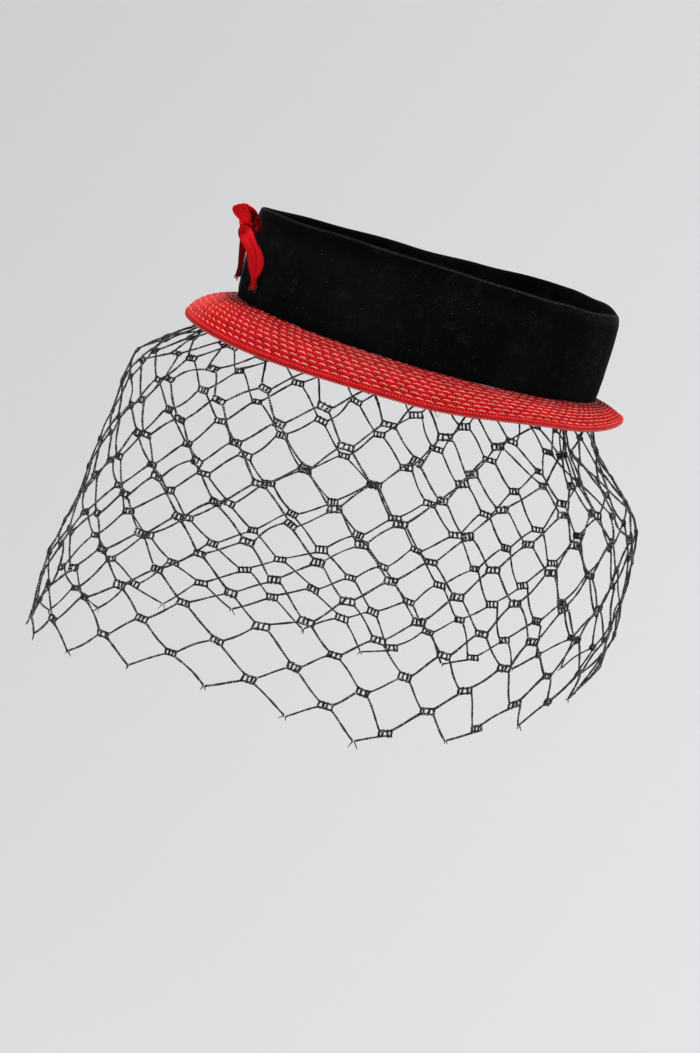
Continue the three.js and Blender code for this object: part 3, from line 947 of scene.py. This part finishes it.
class TILTHAT_OT_brim(bpy.types.Operator):
    """Make the brim's sewn rows, the plaits on both faces, the beaded edge and a loose thread end"""

    bl_idname = "tilthat.brim"
    bl_label = "Brim"

    EDGE_ROW = 0.5
    PLAIT = 4.7 * MM
    DEPTH = 2.5 * MM
    BEAD = 0.76 * MM
    RIBS = (-0.375, -0.125, 0.125, 0.375)
    THREAD_TURN = math.radians(98.4)
    THREAD_WIDTH = 0.55 * MM

    def execute(self, context):
        crown, brim = context.scene.tilthat_crown, context.scene.tilthat_brim
        glossy = straw("glossy_straw", brim, 0.3, 0.25)
        matte = straw("matte_straw", brim, 0.5, 0.04)
        dress(self.shell(crown, brim, matte), "brim")
        strand, ribs = self.strand_tree(), self.rib_tree()
        for face, side in (("top", 1), ("under", -1)):
            dress(self.plaits("brim_braid_" + face, side, crown, brim, strand, glossy))
            dress(self.plaits("brim_ribs_" + face, side, crown, brim, ribs, matte))
        dress(self.edge(crown, brim, glossy))
        dress(self.thread(crown, brim))
        return {"FINISHED"}

    def thread(self, crown, brim):
        """A sewing thread's forked end, hanging out from under the near edge."""
        start = brim_point(crown, np.array(self.THREAD_TURN), np.array(0.99), np.array(-brim.thickness))
        share = np.linspace(0, 1, 6)[:, None]
        drop = brim.thread * stacked(0.35, 0.75, -0.75)
        fork = brim.thread * stacked(0.1, 0.3, 0.75)
        stem = start + drop * share
        branch = start + drop * 0.85 + fork * share
        paths = [stem, branch]
        widths = [np.linspace(1, 0.5, 6), np.linspace(0.8, 0.4, 6)]
        material = plain_cloth("thread", brim.thread_colour, 0.7)
        return spun("brim_thread", paths, widths, yarn_tree(), self.THREAD_WIDTH, 0.5 * MM, material)

    def shell(self, crown, brim, material):
        """Ridged rows above and below, a round edge and a flat ledge under the crown's wall."""
        steps = 6
        pitch = brim.rows + self.EDGE_ROW
        rows = np.linspace(0, 1, round(pitch * steps) + 1)
        swell = brim.ridge * np.abs(np.sin(np.pi * rows * pitch)) ** 0.8
        edge = rows * pitch > brim.rows - 0.3
        swell[edge] = 0.7 * brim.ridge
        # Painted shade: the shell between the plaits shows the dark gap colour, a little lighter along the
        # edge
        crest = np.where(edge, 0.3, 0.12)

        def section(turn):
            below = brim_point(crown, turn, rows, -brim.thickness - 0.3 * swell)
            round_edge = brim_point(crown, turn, np.array([1.012]), -brim.thickness / 2)
            above = brim_point(crown, turn, rows[::-1], swell[::-1])
            foot = foot_level(crown, turn)
            inward = 0 * turn - crown.wall
            ledge = [beside_oval(crown, turn, inward, foot - drop) for drop in (0, brim.thickness)]
            return np.concatenate([below, round_edge, above, *ledge], axis=1)

        # The ledge under the crown's wall takes the full painted gap shade
        marks = np.concatenate([crest, [0.3], crest[::-1], [0, 0]])
        return ring_piece("brim_shell", section, 2 * brim.plaits, material, crest=marks)

    def plait_tree(self, name):
        """An empty tree with a plait's sizes, and a way to place points by shares of them."""
        inputs = dict.fromkeys(("Length", "Row", "Strand", "Rise"), "float")
        tree, given = new_tree(name, inputs | {"Material": "material"})

        def spot(along, over, up):
            shares = (("Length", along), ("Row", over), ("Rise", up))
            return vector(tree, *(times(tree, given[size], share) for size, share in shares))

        return tree, given, spot

    def strand_tree(self):
        """One straw of a plait: a slim, slightly slanted strand that lies along the row."""
        tree, given, spot = self.plait_tree("Braid Strands")
        path = arc(tree, spot(-0.45, 0.3, 0.2), spot(0, 0.4, 1.2), spot(0.45, 0.12, 0.2), 6)
        place = add_node(tree, "GeometryNodeSplineParameter").outputs["Factor"]
        middle = plus(tree, times(tree, place, 2), -1)
        square = times(tree, middle, middle)
        # Painted highlight along the middle of each strand, weaker towards its ends
        path = marked(tree, path, "crest", plus(tree, times(tree, square, -0.35), 1))
        taper = plus(tree, times(tree, times(tree, square, square), -0.75), 1)
        slim = swept(tree, path, round_profile(tree, 6, given["Strand"]), taper)
        end_tree(tree, on_points(tree, given["Geometry"], slim), given["Material"])
        return tree

    def rib_tree(self):
        """The four short ribs of a plait that run down from its strand to the next row."""
        tree, given, spot = self.plait_tree("Braid Ribs")
        profile = round_profile(tree, 5, times(tree, given["Strand"], 1.35))
        parts = []
        for share in self.RIBS:
            top = spot(share - 0.02, 0.28 - 0.6 * share**2, 0.1)
            foot = spot(share + 0.06, -0.56, -0.3)
            parts.append(swept(tree, arc(tree, top, spot(share, -0.1, 0.5), foot, 2), profile))
        # Painted shade, slight: the ribs sit a little towards the gap shade from the plain straw colour
        ribs = marked(tree, joined(tree, *parts), "crest", 0.46)
        end_tree(tree, on_points(tree, given["Geometry"], ribs), given["Material"])
        return tree

    def plaits(self, name, side, crown, brim, tree, material):
        """Plaits in staggered rows over one face of the brim."""
        row, place = cells(brim.rows, brim.plaits)
        pitch = brim.rows + self.EDGE_ROW
        inward = np.clip(1 - (row - 0.5) / 4, 0, 1)
        uneven = np.random.default_rng(21).normal(0, 1, (4, row.size)) * (0.5 + inward)
        slip, stray, growth, slant = uneven
        turn = even_turns(crown, (place + 0.5 * (row % 2) + 0.07 * slip) / brim.plaits)
        across = (row + 0.5 + 0.06 * stray) / pitch
        lift = 0.3 * brim.ridge if side > 0 else -brim.thickness - 0.1 * brim.ridge
        along, down = brim_steps(crown, turn, across, lift)
        long = np.linalg.norm(along, axis=1) * (TURN / brim.plaits) / self.PLAIT * (1 + 0.08 * growth)
        width = np.linalg.norm(down, axis=1) / pitch / self.DEPTH
        settled = np.where(row == 0, 0.4, 1)

        # Painted light on the straw: a painted grazing sheen at the front, its painted highlights dimmed at
        # the front and back ends and at random, painted shade near the crown, and two painted shadow
        # patches, behind the crown and at the far front
        around = even_turns(crown, place / brim.plaits)
        fore = np.maximum(bell(around, 0, 0.45), bell(around, TURN, 0.9))
        ends = np.maximum(fore, bell(around, math.pi, 0.45))
        patches = 0.5 * bell(around, 3.4, 0.35) + 0.35 * bell(around, 5.9, 0.45)
        guide = point_guide(
            name + "_guide",
            brim_point(crown, turn, across, lift),
            normal_axis=unit(np.cross(along, -down)) * side,
            row_axis=unit(unit(along) + unit(down) * 0.07 * slant[:, None]) * side,
            place_scale=stacked(long, width, settled * np.sqrt(width)),
            dim=np.minimum(0.55 * inward + patches * np.clip(1 - row / 7, 0, 1), 0.85),
            faded=np.clip(np.maximum(0.85 * ends, 0.3 * np.abs(slant)), 0, 0.85),
            pale=0.09 * fore,
        )
        sizes = {"Length": self.PLAIT, "Row": self.DEPTH, "Strand": brim.strand, "Rise": brim.rise}
        return grown(name, guide, tree, sizes | {"Material": material})

    def edge(self, crown, brim, material):
        """Two rows of small straw beads, one on the turned edge and one just inside it."""
        tree, given = new_tree("Edge Beads", {"Bead": "float", "Material": "material"})
        ball = made(tree, "GeometryNodeMeshUVSphere", {"Segments": 8, "Rings": 5, "Radius": given["Bead"]})
        end_tree(tree, on_points(tree, given["Geometry"], ball), given["Material"])
        row, place = cells(2, brim.edge_beads)
        turn = even_turns(crown, (place + 0.5 * row) / brim.edge_beads)
        across = 1 - 0.85 * row * self.EDGE_ROW / (brim.rows + self.EDGE_ROW)
        lift = np.where(row == 0, -0.4, 0.05) * brim.thickness
        along, down = brim_steps(crown, turn, across, lift)
        guide = point_guide(
            "edge_guide",
            brim_point(crown, turn, across, lift),
            normal_axis=unit(np.cross(along, -down)),
            row_axis=unit(along),
            place_scale=np.where(row[:, None] == 0, (0.86, 1.05, 1.25), (0.84, 1.3, 0.95)),
            # Painted highlight on the outer row of beads; the inner row sits a little towards the gap shade
            crest=np.where(row == 0, 0.64, 0.48),
        )
        return grown("brim_edge", guide, tree, {"Bead": self.BEAD, "Material": material})


# Bow


class TILTHAT_OT_bow(bpy.types.Operator):
    """Make the ribbon bow: the wrapped knot, two loops, two tails and their frayed ends"""

    bl_idname = "tilthat.bow"
    bl_label = "Bow"

    LOOP_STEPS = 61
    LOOP_PLEAT = 0.3 * MM
    LOOP_BULGE = 1.1 * MM
    TAIL_STEPS = 44
    TAIL_PLEAT = 0.35 * MM
    TAIL_BULGE = 0.4 * MM
    FRAYS = 30
    FRAY_AT = 0.97
    FRAY_WIDTH = 0.3 * MM

    def execute(self, context):
        bow = context.scene.tilthat_bow
        material = velvet(
            "red_velvet",
            shade=bow.ribbon_colour,
            worn=bow.reverse_colour,
            sheen=0.12,
            tint=(1.0, 0.15, 0.14),
            contrast=0.35,
            pile=streaked,
            grain=0.16,
            dust=0,
        )
        low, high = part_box("bow_knot")
        place = np.array((low + high) / 2)
        dress(self.knot(bow, place, material), "bow_knot")
        for node, rows in BOW_LOOPS.items():
            dress(self.loop(node, rows, bow, place, material), node)
        for node, rows in BOW_TAILS.items():
            dress(self.tail(node, rows, bow, place, material), node)
        dress(self.frays(bow, place))
        return {"FINISHED"}

    def knot(self, bow, place, material):
        """The ribbon wrapped once round the middle of the bow, creased by the pull."""
        around = whole_turn(72)
        sideways = np.sin(np.linspace(-np.pi / 2, np.pi / 2, 27)) * 0.999
        side, angle = np.meshgrid(sideways, around, indexing="ij")
        fullness = (1 - np.abs(side) ** 3.2) ** (1 / 2.4)
        crease = 1 - 0.07 * np.cos(3.5 * np.pi * side + 0.9 * np.sin(2 * angle)) ** 2
        square = (np.abs(np.cos(angle)) ** 3 + np.abs(np.sin(angle)) ** 3) ** (-1 / 3)
        size = fullness * crease * square
        x = side * bow.knot_across / 2
        y = np.cos(angle) * size * bow.knot_out / 2
        z = np.sin(angle) * size * bow.knot_up / 2
        turn = math.radians(BOW_TURN)
        cosine, sine = math.cos(turn), math.sin(turn)
        points = stacked(x * cosine - y * sine, x * sine + y * cosine, z)
        faces = grid_faces(len(sideways), len(around), False, True)
        faces.append(tuple(range(len(around))))
        faces.append(tuple(reversed(range(side.size - len(around), side.size))))
        # Painted shade: the wrap's side edges take the dark back colour on the half towards the crown
        inner = np.clip((y / bow.knot_out + 0.02) / 0.2, 0, 1)
        wear = np.clip((np.abs(side) - 0.8) / 0.15, 0, 1) * inner
        weave = stacked(0.5 + side / 2, angle / TURN, 0)
        return mesh_piece("bow_knot_wrap", points + place, flipped(faces), material, wear=wear, weave=weave)

    def line(self, rows, place, share):
        """The middle line of a ribbon and half its width across."""
        at = curved(rows, share)
        middles = place + MM * stacked(at["x"], at["y"], at["z"])
        return middles, MM * stacked(at["across_x"], at["across_y"], at["across_z"])

    def ribbon(self, name, middles, across, bow, pleat, bulge, back, lustre, material):
        """A cupped ribbon along its middle line, with pleats and a bulge that change along it."""
        side = np.linspace(-1, 1, 17)
        along = np.gradient(middles, axis=0)
        normal = unit(np.cross(across, along))
        bend = -bow.cup * side**2 + pleat[:, None] * np.cos(2.5 * np.pi * side)
        swell = 1 - side**2 + 0.12 * np.cos(3 * np.pi * side)
        points = middles[:, None] + across[:, None] * side[:, None] + normal[:, None] * bend[..., None]
        points = points + bulge[:, None] * swell[:, None]
        down = np.gradient(points, axis=0)
        over = np.gradient(points, axis=1)
        normals = unit(np.cross(over, down))
        return thick_sheet(name, points, normals, bow.thickness, back, lustre, material)

    def loop(self, node, rows, bow, place, material):
        """Out from the knot and back, pleated at both ends and bulging at its fold."""
        share = np.linspace(0, 1, self.LOOP_STEPS)
        middles, across = self.line(rows, place, share)
        reach = middles - (middles[0] + middles[-1]) / 2
        fold = int(np.argmax(np.linalg.norm(reach, axis=1)))
        pleat = self.LOOP_PLEAT * np.abs(2 * share - 1) ** 4
        turning = bell(share, share[fold], 0.14)
        bulge = unit(reach[fold]) * self.LOOP_BULGE * turning[:, None]
        # Painted shade: one face of the loop's back half takes the dark back colour; painted light
        # brightens the whole loop, least at its fold
        back = np.clip((share - 0.5) / 0.12, 0, 1)
        lustre = 0.85 - 0.75 * turning
        return self.ribbon(node + "_ribbon", middles, across, bow, pleat, bulge, back, lustre, material)

    def tail(self, node, rows, bow, place, material):
        """Down from the knot to a cut end."""
        share = np.linspace(0, 1, self.TAIL_STEPS)
        middles, across = self.line(rows, place, share)
        pleat = self.TAIL_PLEAT * (1 - share) ** 2
        rounded = unit(np.gradient(middles, axis=0)) * self.TAIL_BULGE * share[:, None] ** 10
        # One face of the tail is the woven back all along; painted light brightens its top under the knot
        # and leaves the rest a little darker
        back = np.ones_like(share)
        lustre = 0.9 * bell(share, 0, 0.16) - 0.1
        return self.ribbon(node + "_ribbon", middles, across, bow, pleat, rounded, back, lustre, material)

    def frays(self, bow, place):
        """Loose threads along the cut ends of both tails."""
        rng = np.random.default_rng(3)
        steps = np.linspace(0, 1, 5)[:, None]
        paths, widths = [], []
        share = np.array([self.FRAY_AT])
        for rows in BOW_TAILS.values():
            middle, across = self.line(rows, place, share)
            before = self.line(rows, place, share - 0.02)[0]
            for side in np.linspace(-0.97, 0.97, self.FRAYS):
                way = unit(middle - before) - unit(across) * 0.3 * side + 0.25 * rng.normal(0, 1, 3)
                long = bow.fray * rng.uniform(0.35, 1)
                curl = 0.5 * rng.normal(0, 1, 3)
                paths.append(middle + across * side + way * long * steps + curl * long * steps**2)
                widths.append(np.linspace(1, 0.35, 5))
        material = plain_cloth("ribbon_threads", tone(bow.ribbon_colour, 0.85), 0.6)
        return spun("bow_frays", paths, widths, yarn_tree(), self.FRAY_WIDTH, 0.5 * MM, material)


# Veil


class TILTHAT_OT_veil(bpy.types.Operator):
    """Make the net: strands between ladder knots, cut ends along the hem and the sewn top edge"""

    bl_idname = "tilthat.veil"
    bl_label = "Veil"

    HEM_REACH = 1.035
    ROWS_AT_SIDE = 11.58
    FIRST_COLUMN = 0.05
    GATHER_AT = 0.4026
    GATHER_WIDTH = 0.06
    GATHER_PULL = 0.93
    JITTER = 0.75 * MM
    STRAND_STEP = 1.9 * MM
    STRAND_CURL = 0.05
    STRAND_SWAY = 0.03
    MISSING_END = 0.12
    KNOT_STEP = 1.0 * MM
    KNOT_DEPTH = 0.45 * MM
    RUNGS = (0.03, 0.34, 0.66, 0.97)

    def execute(self, context):
        veil = context.scene.tilthat_veil
        rng = np.random.default_rng(7)
        material = yarn(veil)
        tree = yarn_tree()
        net = self.lattice(veil, rng)
        paths, widths = self.strands(veil, net, rng)
        strands = spun("veil_strands", paths, widths, tree, veil.yarn, self.STRAND_STEP, material)
        paths, widths = self.knots(veil, net, rng)
        knots = spun("veil_knots", paths, widths, tree, veil.yarn, self.KNOT_STEP, material)
        dress(strands, "veil")
        dress(knots)
        return {"FINISHED"}

    def lattice(self, veil, rng):
        """Places, axes and sizes of the knots, row by row."""
        row, column = np.meshgrid(np.arange(veil.rows + 1), np.arange(veil.columns), indexing="ij")
        even = (column + self.FIRST_COLUMN + 0.5 * ((row + 1) % 2)) / veil.columns
        share, down = self.drift(even, row / self.ROWS_AT_SIDE)
        from_front = np.abs((share + 0.5) % 1 - 0.5)
        pinch = self.GATHER_PULL * np.exp(-(((share - self.GATHER_AT) / self.GATHER_WIDTH) ** 4))
        pinch = pinch * np.interp(row, [0, 1, 2, 3, 4, 5], [1, 1, 0.97, 0.8, 0.35, 0])
        share = share + (self.GATHER_AT - share) * pinch
        step = 1e-4
        held = np.clip(down, step, 1 - step)
        along = unit(veil_point(share + step, held) - veil_point(share - step, held))
        fall = unit(veil_point(share, held + step) - veil_point(share, held - step))
        out = unit(np.cross(along, fall))
        fall = np.cross(out, along)
        place = veil_point(share, np.minimum(down, 1))
        loose = np.clip(row / 3, 0.15, 1)[..., None]
        jitter = rng.normal(0, self.JITTER, place.shape) * loose
        place = place + along * jitter[..., :1] + fall * jitter[..., 1:2] + out * jitter[..., 2:] * 0.6
        alive = down <= self.HEM_REACH
        tip = (row == veil.rows) & alive
        lower = np.roll(alive, -1, axis=0)
        for r in range(veil.rows):
            left, right = self.below(veil, r)
            tip[r] |= alive[r] & ~lower[r][left] & ~lower[r][right]
        tilt = rng.normal(0, 0.14, row.shape)[..., None]
        along, fall = along + fall * tilt, fall - along * tilt
        half = (1 + rng.normal(0, 0.08, row.shape)) * veil.knot_length / 2 * (1 - 0.55 * pinch)
        half = np.where(tip, 0.5 * MM, half * np.where(from_front > 0.4, 0.7, 1))
        high = np.where(tip, 0.25 * MM, (1 + rng.normal(0, 0.1, row.shape)) * veil.knot_height / 2)

        def corner(x, y):
            return place + along * (x * half)[..., None] + fall * (y * high)[..., None]

        return {
            "place": place,
            "along": along,
            "fall": fall,
            "out": out,
            "alive": alive,
            "tip": tip,
            "high": high,
            "upper_left": corner(-1, -1),
            "upper_right": corner(1, -1),
            "lower_left": corner(-1, 1),
            "lower_right": corner(1, 1),
        }

    def drift(self, share, depth):
        """Where even cells end up: spread and flat at the front, drawn together and tall at the back."""
        turn = TURN * share
        share = share + (0.0136 + 0.0118 * depth) * np.sin(turn) + 0.003 * np.sin(2 * turn)
        lag = np.cos(turn) * (0.2 * depth - 0.337 * depth**2) + 0.085 * np.cos(2 * turn) * depth**2
        return share, depth - 0.007 + lag

    def below(self, veil, row):
        """The columns of the two knots under each knot of a row, on its left and right."""
        columns = np.arange(veil.columns)
        if row % 2 == 0:
            return columns, (columns + 1) % veil.columns
        return (columns - 1) % veil.columns, columns

    def strands(self, veil, net, rng):
        """Yarn from each knot to the two knots below it, the hem's cut ends and the sewn edge."""
        alive, tip, along, fall, out = (net[name] for name in ("alive", "tip", "along", "fall", "out"))
        share = np.linspace(0, 1, 7)[:, None]
        leaving = 2 * share * (1 - share) ** 2
        arriving = 2 * share**2 * (1 - share)
        paths, widths = [], []
        for r in range(veil.rows):
            left, right = self.below(veil, r)
            for columns, start, end, sign in (
                (left, "lower_left", "upper_right", -1),
                (right, "lower_right", "upper_left", 1),
            ):
                for c, d in enumerate(columns):
                    if tip[r, c] or not (alive[r, c] and alive[r + 1, d]):
                        continue
                    a, b = net[start][r, c], net[end][r + 1, d]
                    reach = np.linalg.norm(b - a)
                    lead = self.STRAND_CURL * reach * sign
                    sideways, outward = rng.normal(0, self.STRAND_SWAY, 2) * reach
                    sway = along[r, c] * sideways + out[r, c] * outward
                    curl = leaving * along[r, c] * lead - arriving * along[r + 1, d] * lead
                    paths.append(a + (b - a) * share + curl + np.sin(np.pi * share) * sway)
                    widths.append(np.full(len(share), 1 + rng.normal(0, 0.06)))
        s = np.linspace(0, 1, 5)[:, None]
        for r, c in np.argwhere(tip):
            for side in (-1, 1):
                if rng.random() < self.MISSING_END:
                    continue
                long = veil.whisker * rng.uniform(0.45, 1.15)
                way = fall[r, c] + along[r, c] * (0.35 * side + rng.normal(0, 0.2))
                curl = along[r, c] * rng.normal(0, 0.35) + out[r, c] * rng.normal(0, 0.3)
                begin = net["place"][r, c] + along[r, c] * side * 0.3 * MM
                paths.append(begin + way * long * s + curl * long * s**2)
                widths.append(np.linspace(0.75, 0.3, 5))
        ring = np.linspace(0, 1, 241)
        paths.append(veil_point(ring, 0 * ring + 0.004))
        widths.append(np.full(len(ring), 1.5))
        return paths, widths

    def knots(self, veil, net, rng):
        """Two rails and four slanted rungs for each knot."""
        paths, widths = [], []
        for r, c in np.argwhere(net["alive"] & ~net["tip"]):
            fall = net["fall"][r, c] * net["high"][r, c]
            upper_left, lower_left = net["upper_left"][r, c], net["lower_left"][r, c]
            upper = net["upper_right"][r, c] - upper_left
            lower = net["lower_right"][r, c] - lower_left
            s = np.linspace(0, 1, 6)[:, None]
            for start, rail, sign in ((upper_left, upper, 1), (lower_left, lower, -1)):
                belly = np.sin(np.pi * s) * fall * 0.16 * sign * rng.uniform(0.2, 1.6)
                paths.append(start + rail * s + belly)
                widths.append(np.full(len(s), 1.0))
            t = np.linspace(-0.1, 1.1, 5)[:, None]
            for share in self.RUNGS:
                top = upper_left + upper * (share + rng.normal(0, 0.03))
                foot = lower_left + lower * (share + rng.normal(-0.02, 0.06))
                side = net["out"][r, c] * self.KNOT_DEPTH * rng.choice([-1, 1])
                paths.append(top + (foot - top) * t + np.sin(np.pi * np.clip(t, 0, 1)) * side)
                widths.append(np.full(len(t), 1.2))
        return paths, widths


# Stage


class TILTHAT_OT_stage(bpy.types.Operator):
    """Set the floor and backdrop, the lights and the camera"""

    bl_idname = "tilthat.stage"
    bl_label = "Stage"

    ELEVATION = math.radians(8.4)
    ROLL = math.radians(16.5)
    TARGET = Vector((0, -6 * MM, -90 * MM))
    STEPS = 96
    WALL = 1.5

    def execute(self, context):
        stage = context.scene.tilthat_stage
        context.scene.view_settings.view_transform = "Standard"
        self.backdrop(stage)
        axes = self.axes()
        self.camera(context, stage, axes)
        self.lights(context, axes)
        return {"FINISHED"}

    def axes(self):
        """The picture's right, up and towards the viewer, as the hat tilts in it."""
        back = Vector((math.cos(self.ELEVATION), 0, math.sin(self.ELEVATION)))
        level = Vector((0, 1, 0))
        upright = Vector((-math.sin(self.ELEVATION), 0, math.cos(self.ELEVATION)))
        right = level * math.cos(self.ROLL) + upright * math.sin(self.ROLL)
        up = upright * math.cos(self.ROLL) - level * math.sin(self.ROLL)
        return right, up, back

    def camera(self, context, stage, axes):
        """The camera at the hat's side."""
        right, up, back = axes
        data = bpy.data.cameras.new("camera")
        data.lens = data.sensor_width * stage.distance / stage.view_height
        piece = link("camera", data)
        turn = Matrix((right, up, back)).transposed().to_4x4()
        piece.matrix_world = Matrix.Translation(self.TARGET + back * stage.distance) @ turn
        context.scene.camera = piece

    def backdrop(self, stage):
        """A round floor that curves up into a wall."""
        radius = stage.backdrop
        bend = radius / 2
        sweep = np.linspace(0, math.pi / 2, 17)
        flat = np.linspace(0.02, radius - bend, 8)[:-1]
        reach = np.concatenate([flat, radius - bend + bend * np.sin(sweep), [radius]])
        height = np.concatenate([0 * flat, bend - bend * np.cos(sweep), [bend + self.WALL]])
        turns = whole_turn(self.STEPS)[:, None]
        points = stacked(reach * np.sin(turns), -reach * np.cos(turns), height - stage.floor_drop)
        faces = flipped(grid_faces(self.STEPS, len(reach), True, False))
        faces.append(tuple(range(0, self.STEPS * len(reach), len(reach))))
        material, tree, shader = new_material(
            "backdrop",
            Base_Color=(*stage.backdrop_colour, 1),
            Roughness=1.0,
            Specular_IOR_Level=0.0,
            Emission_Color=(1, 1, 1, 1),
        )
        place = add_node(tree, "ShaderNodeTexCoord").outputs["Object"]
        split = add_node(tree, "ShaderNodeSeparateXYZ", {0: place}).outputs
        # The floor and wall glow with painted light, a little brighter towards +y and lower down
        glow = plus(tree, plus(tree, times(tree, split["Y"], 0.06), times(tree, split["Z"], -0.03)), 0.325)
        tree.links.new(glow, shader.inputs["Emission Strength"])
        mesh_piece("backdrop", points, faces, material)

    def lights(self, context, axes):
        """Wide soft lights above and to both sides, and an even pale surround."""
        right, up, back = axes
        for name, place, size, power in (
            ("softbox_above", up * 1.3 + back * 0.4 + right * 0.15, 0.32, 20),
            ("softbox_left", right * -1.5 + up * 0.5 + back * 0.9, 0.9, 3),
            ("softbox_right", right * 1.6 + up * 0.6 + back * 0.3, 0.9, 4),
        ):
            data = bpy.data.lights.new(name, "AREA")
            data.shape = "SQUARE"
            data.size = size
            data.energy = power
            piece = link(name, data)
            piece.location = self.TARGET + place
            piece.rotation_mode = "QUATERNION"
            piece.rotation_quaternion = (-place).to_track_quat("-Z", "Y")
        world = bpy.data.worlds.new("surround")
        world.use_nodes = True
        glow = world.node_tree.nodes["Background"].inputs
        glow["Color"].default_value = (0.95, 0.96, 1.0, 1)
        glow["Strength"].default_value = 0.45
        context.scene.world = world


# Panel and registration


class TILTHAT_PT_panel(bpy.types.Panel):
    """The hat's pieces and their settings"""

    bl_label = "Tilt Hat"
    bl_idname = "TILTHAT_PT_panel"
    bl_space_type = "VIEW_3D"
    bl_region_type = "UI"
    bl_category = "Tilt Hat"

    def draw(self, context):
        for operator, group in MAKERS:
            box = self.layout.box()
            box.operator(operator.bl_idname)
            settings = getattr(context.scene, group)
            for name in settings.__annotations__:
                box.prop(settings, name)


SETTINGS = {
    "tilthat_crown": CrownSettings,
    "tilthat_brim": BrimSettings,
    "tilthat_bow": BowSettings,
    "tilthat_veil": VeilSettings,
    "tilthat_stage": StageSettings,
}
MAKERS = (
    (TILTHAT_OT_crown, "tilthat_crown"),
    (TILTHAT_OT_brim, "tilthat_brim"),
    (TILTHAT_OT_bow, "tilthat_bow"),
    (TILTHAT_OT_veil, "tilthat_veil"),
    (TILTHAT_OT_stage, "tilthat_stage"),
)


def register():
    """Adds the settings, the operators and the panel."""
    for name, group in SETTINGS.items():
        bpy.utils.register_class(group)
        setattr(bpy.types.Scene, name, PointerProperty(type=group))
    for operator, _ in MAKERS:
        bpy.utils.register_class(operator)
    bpy.utils.register_class(TILTHAT_PT_panel)


def unregister():
    """Takes the panel, the operators and the settings away again."""
    bpy.utils.unregister_class(TILTHAT_PT_panel)
    for operator, _ in reversed(MAKERS):
        bpy.utils.unregister_class(operator)
    for name, group in reversed(SETTINGS.items()):
        delattr(bpy.types.Scene, name)
        bpy.utils.unregister_class(group)


def main():
    """Makes the hat and its stage."""
    register()
    bpy.ops.tilthat.stage()
    bpy.ops.tilthat.crown()
    bpy.ops.tilthat.brim()
    bpy.ops.tilthat.bow()
    bpy.ops.tilthat.veil()


if __name__ == "__main__":
    main()
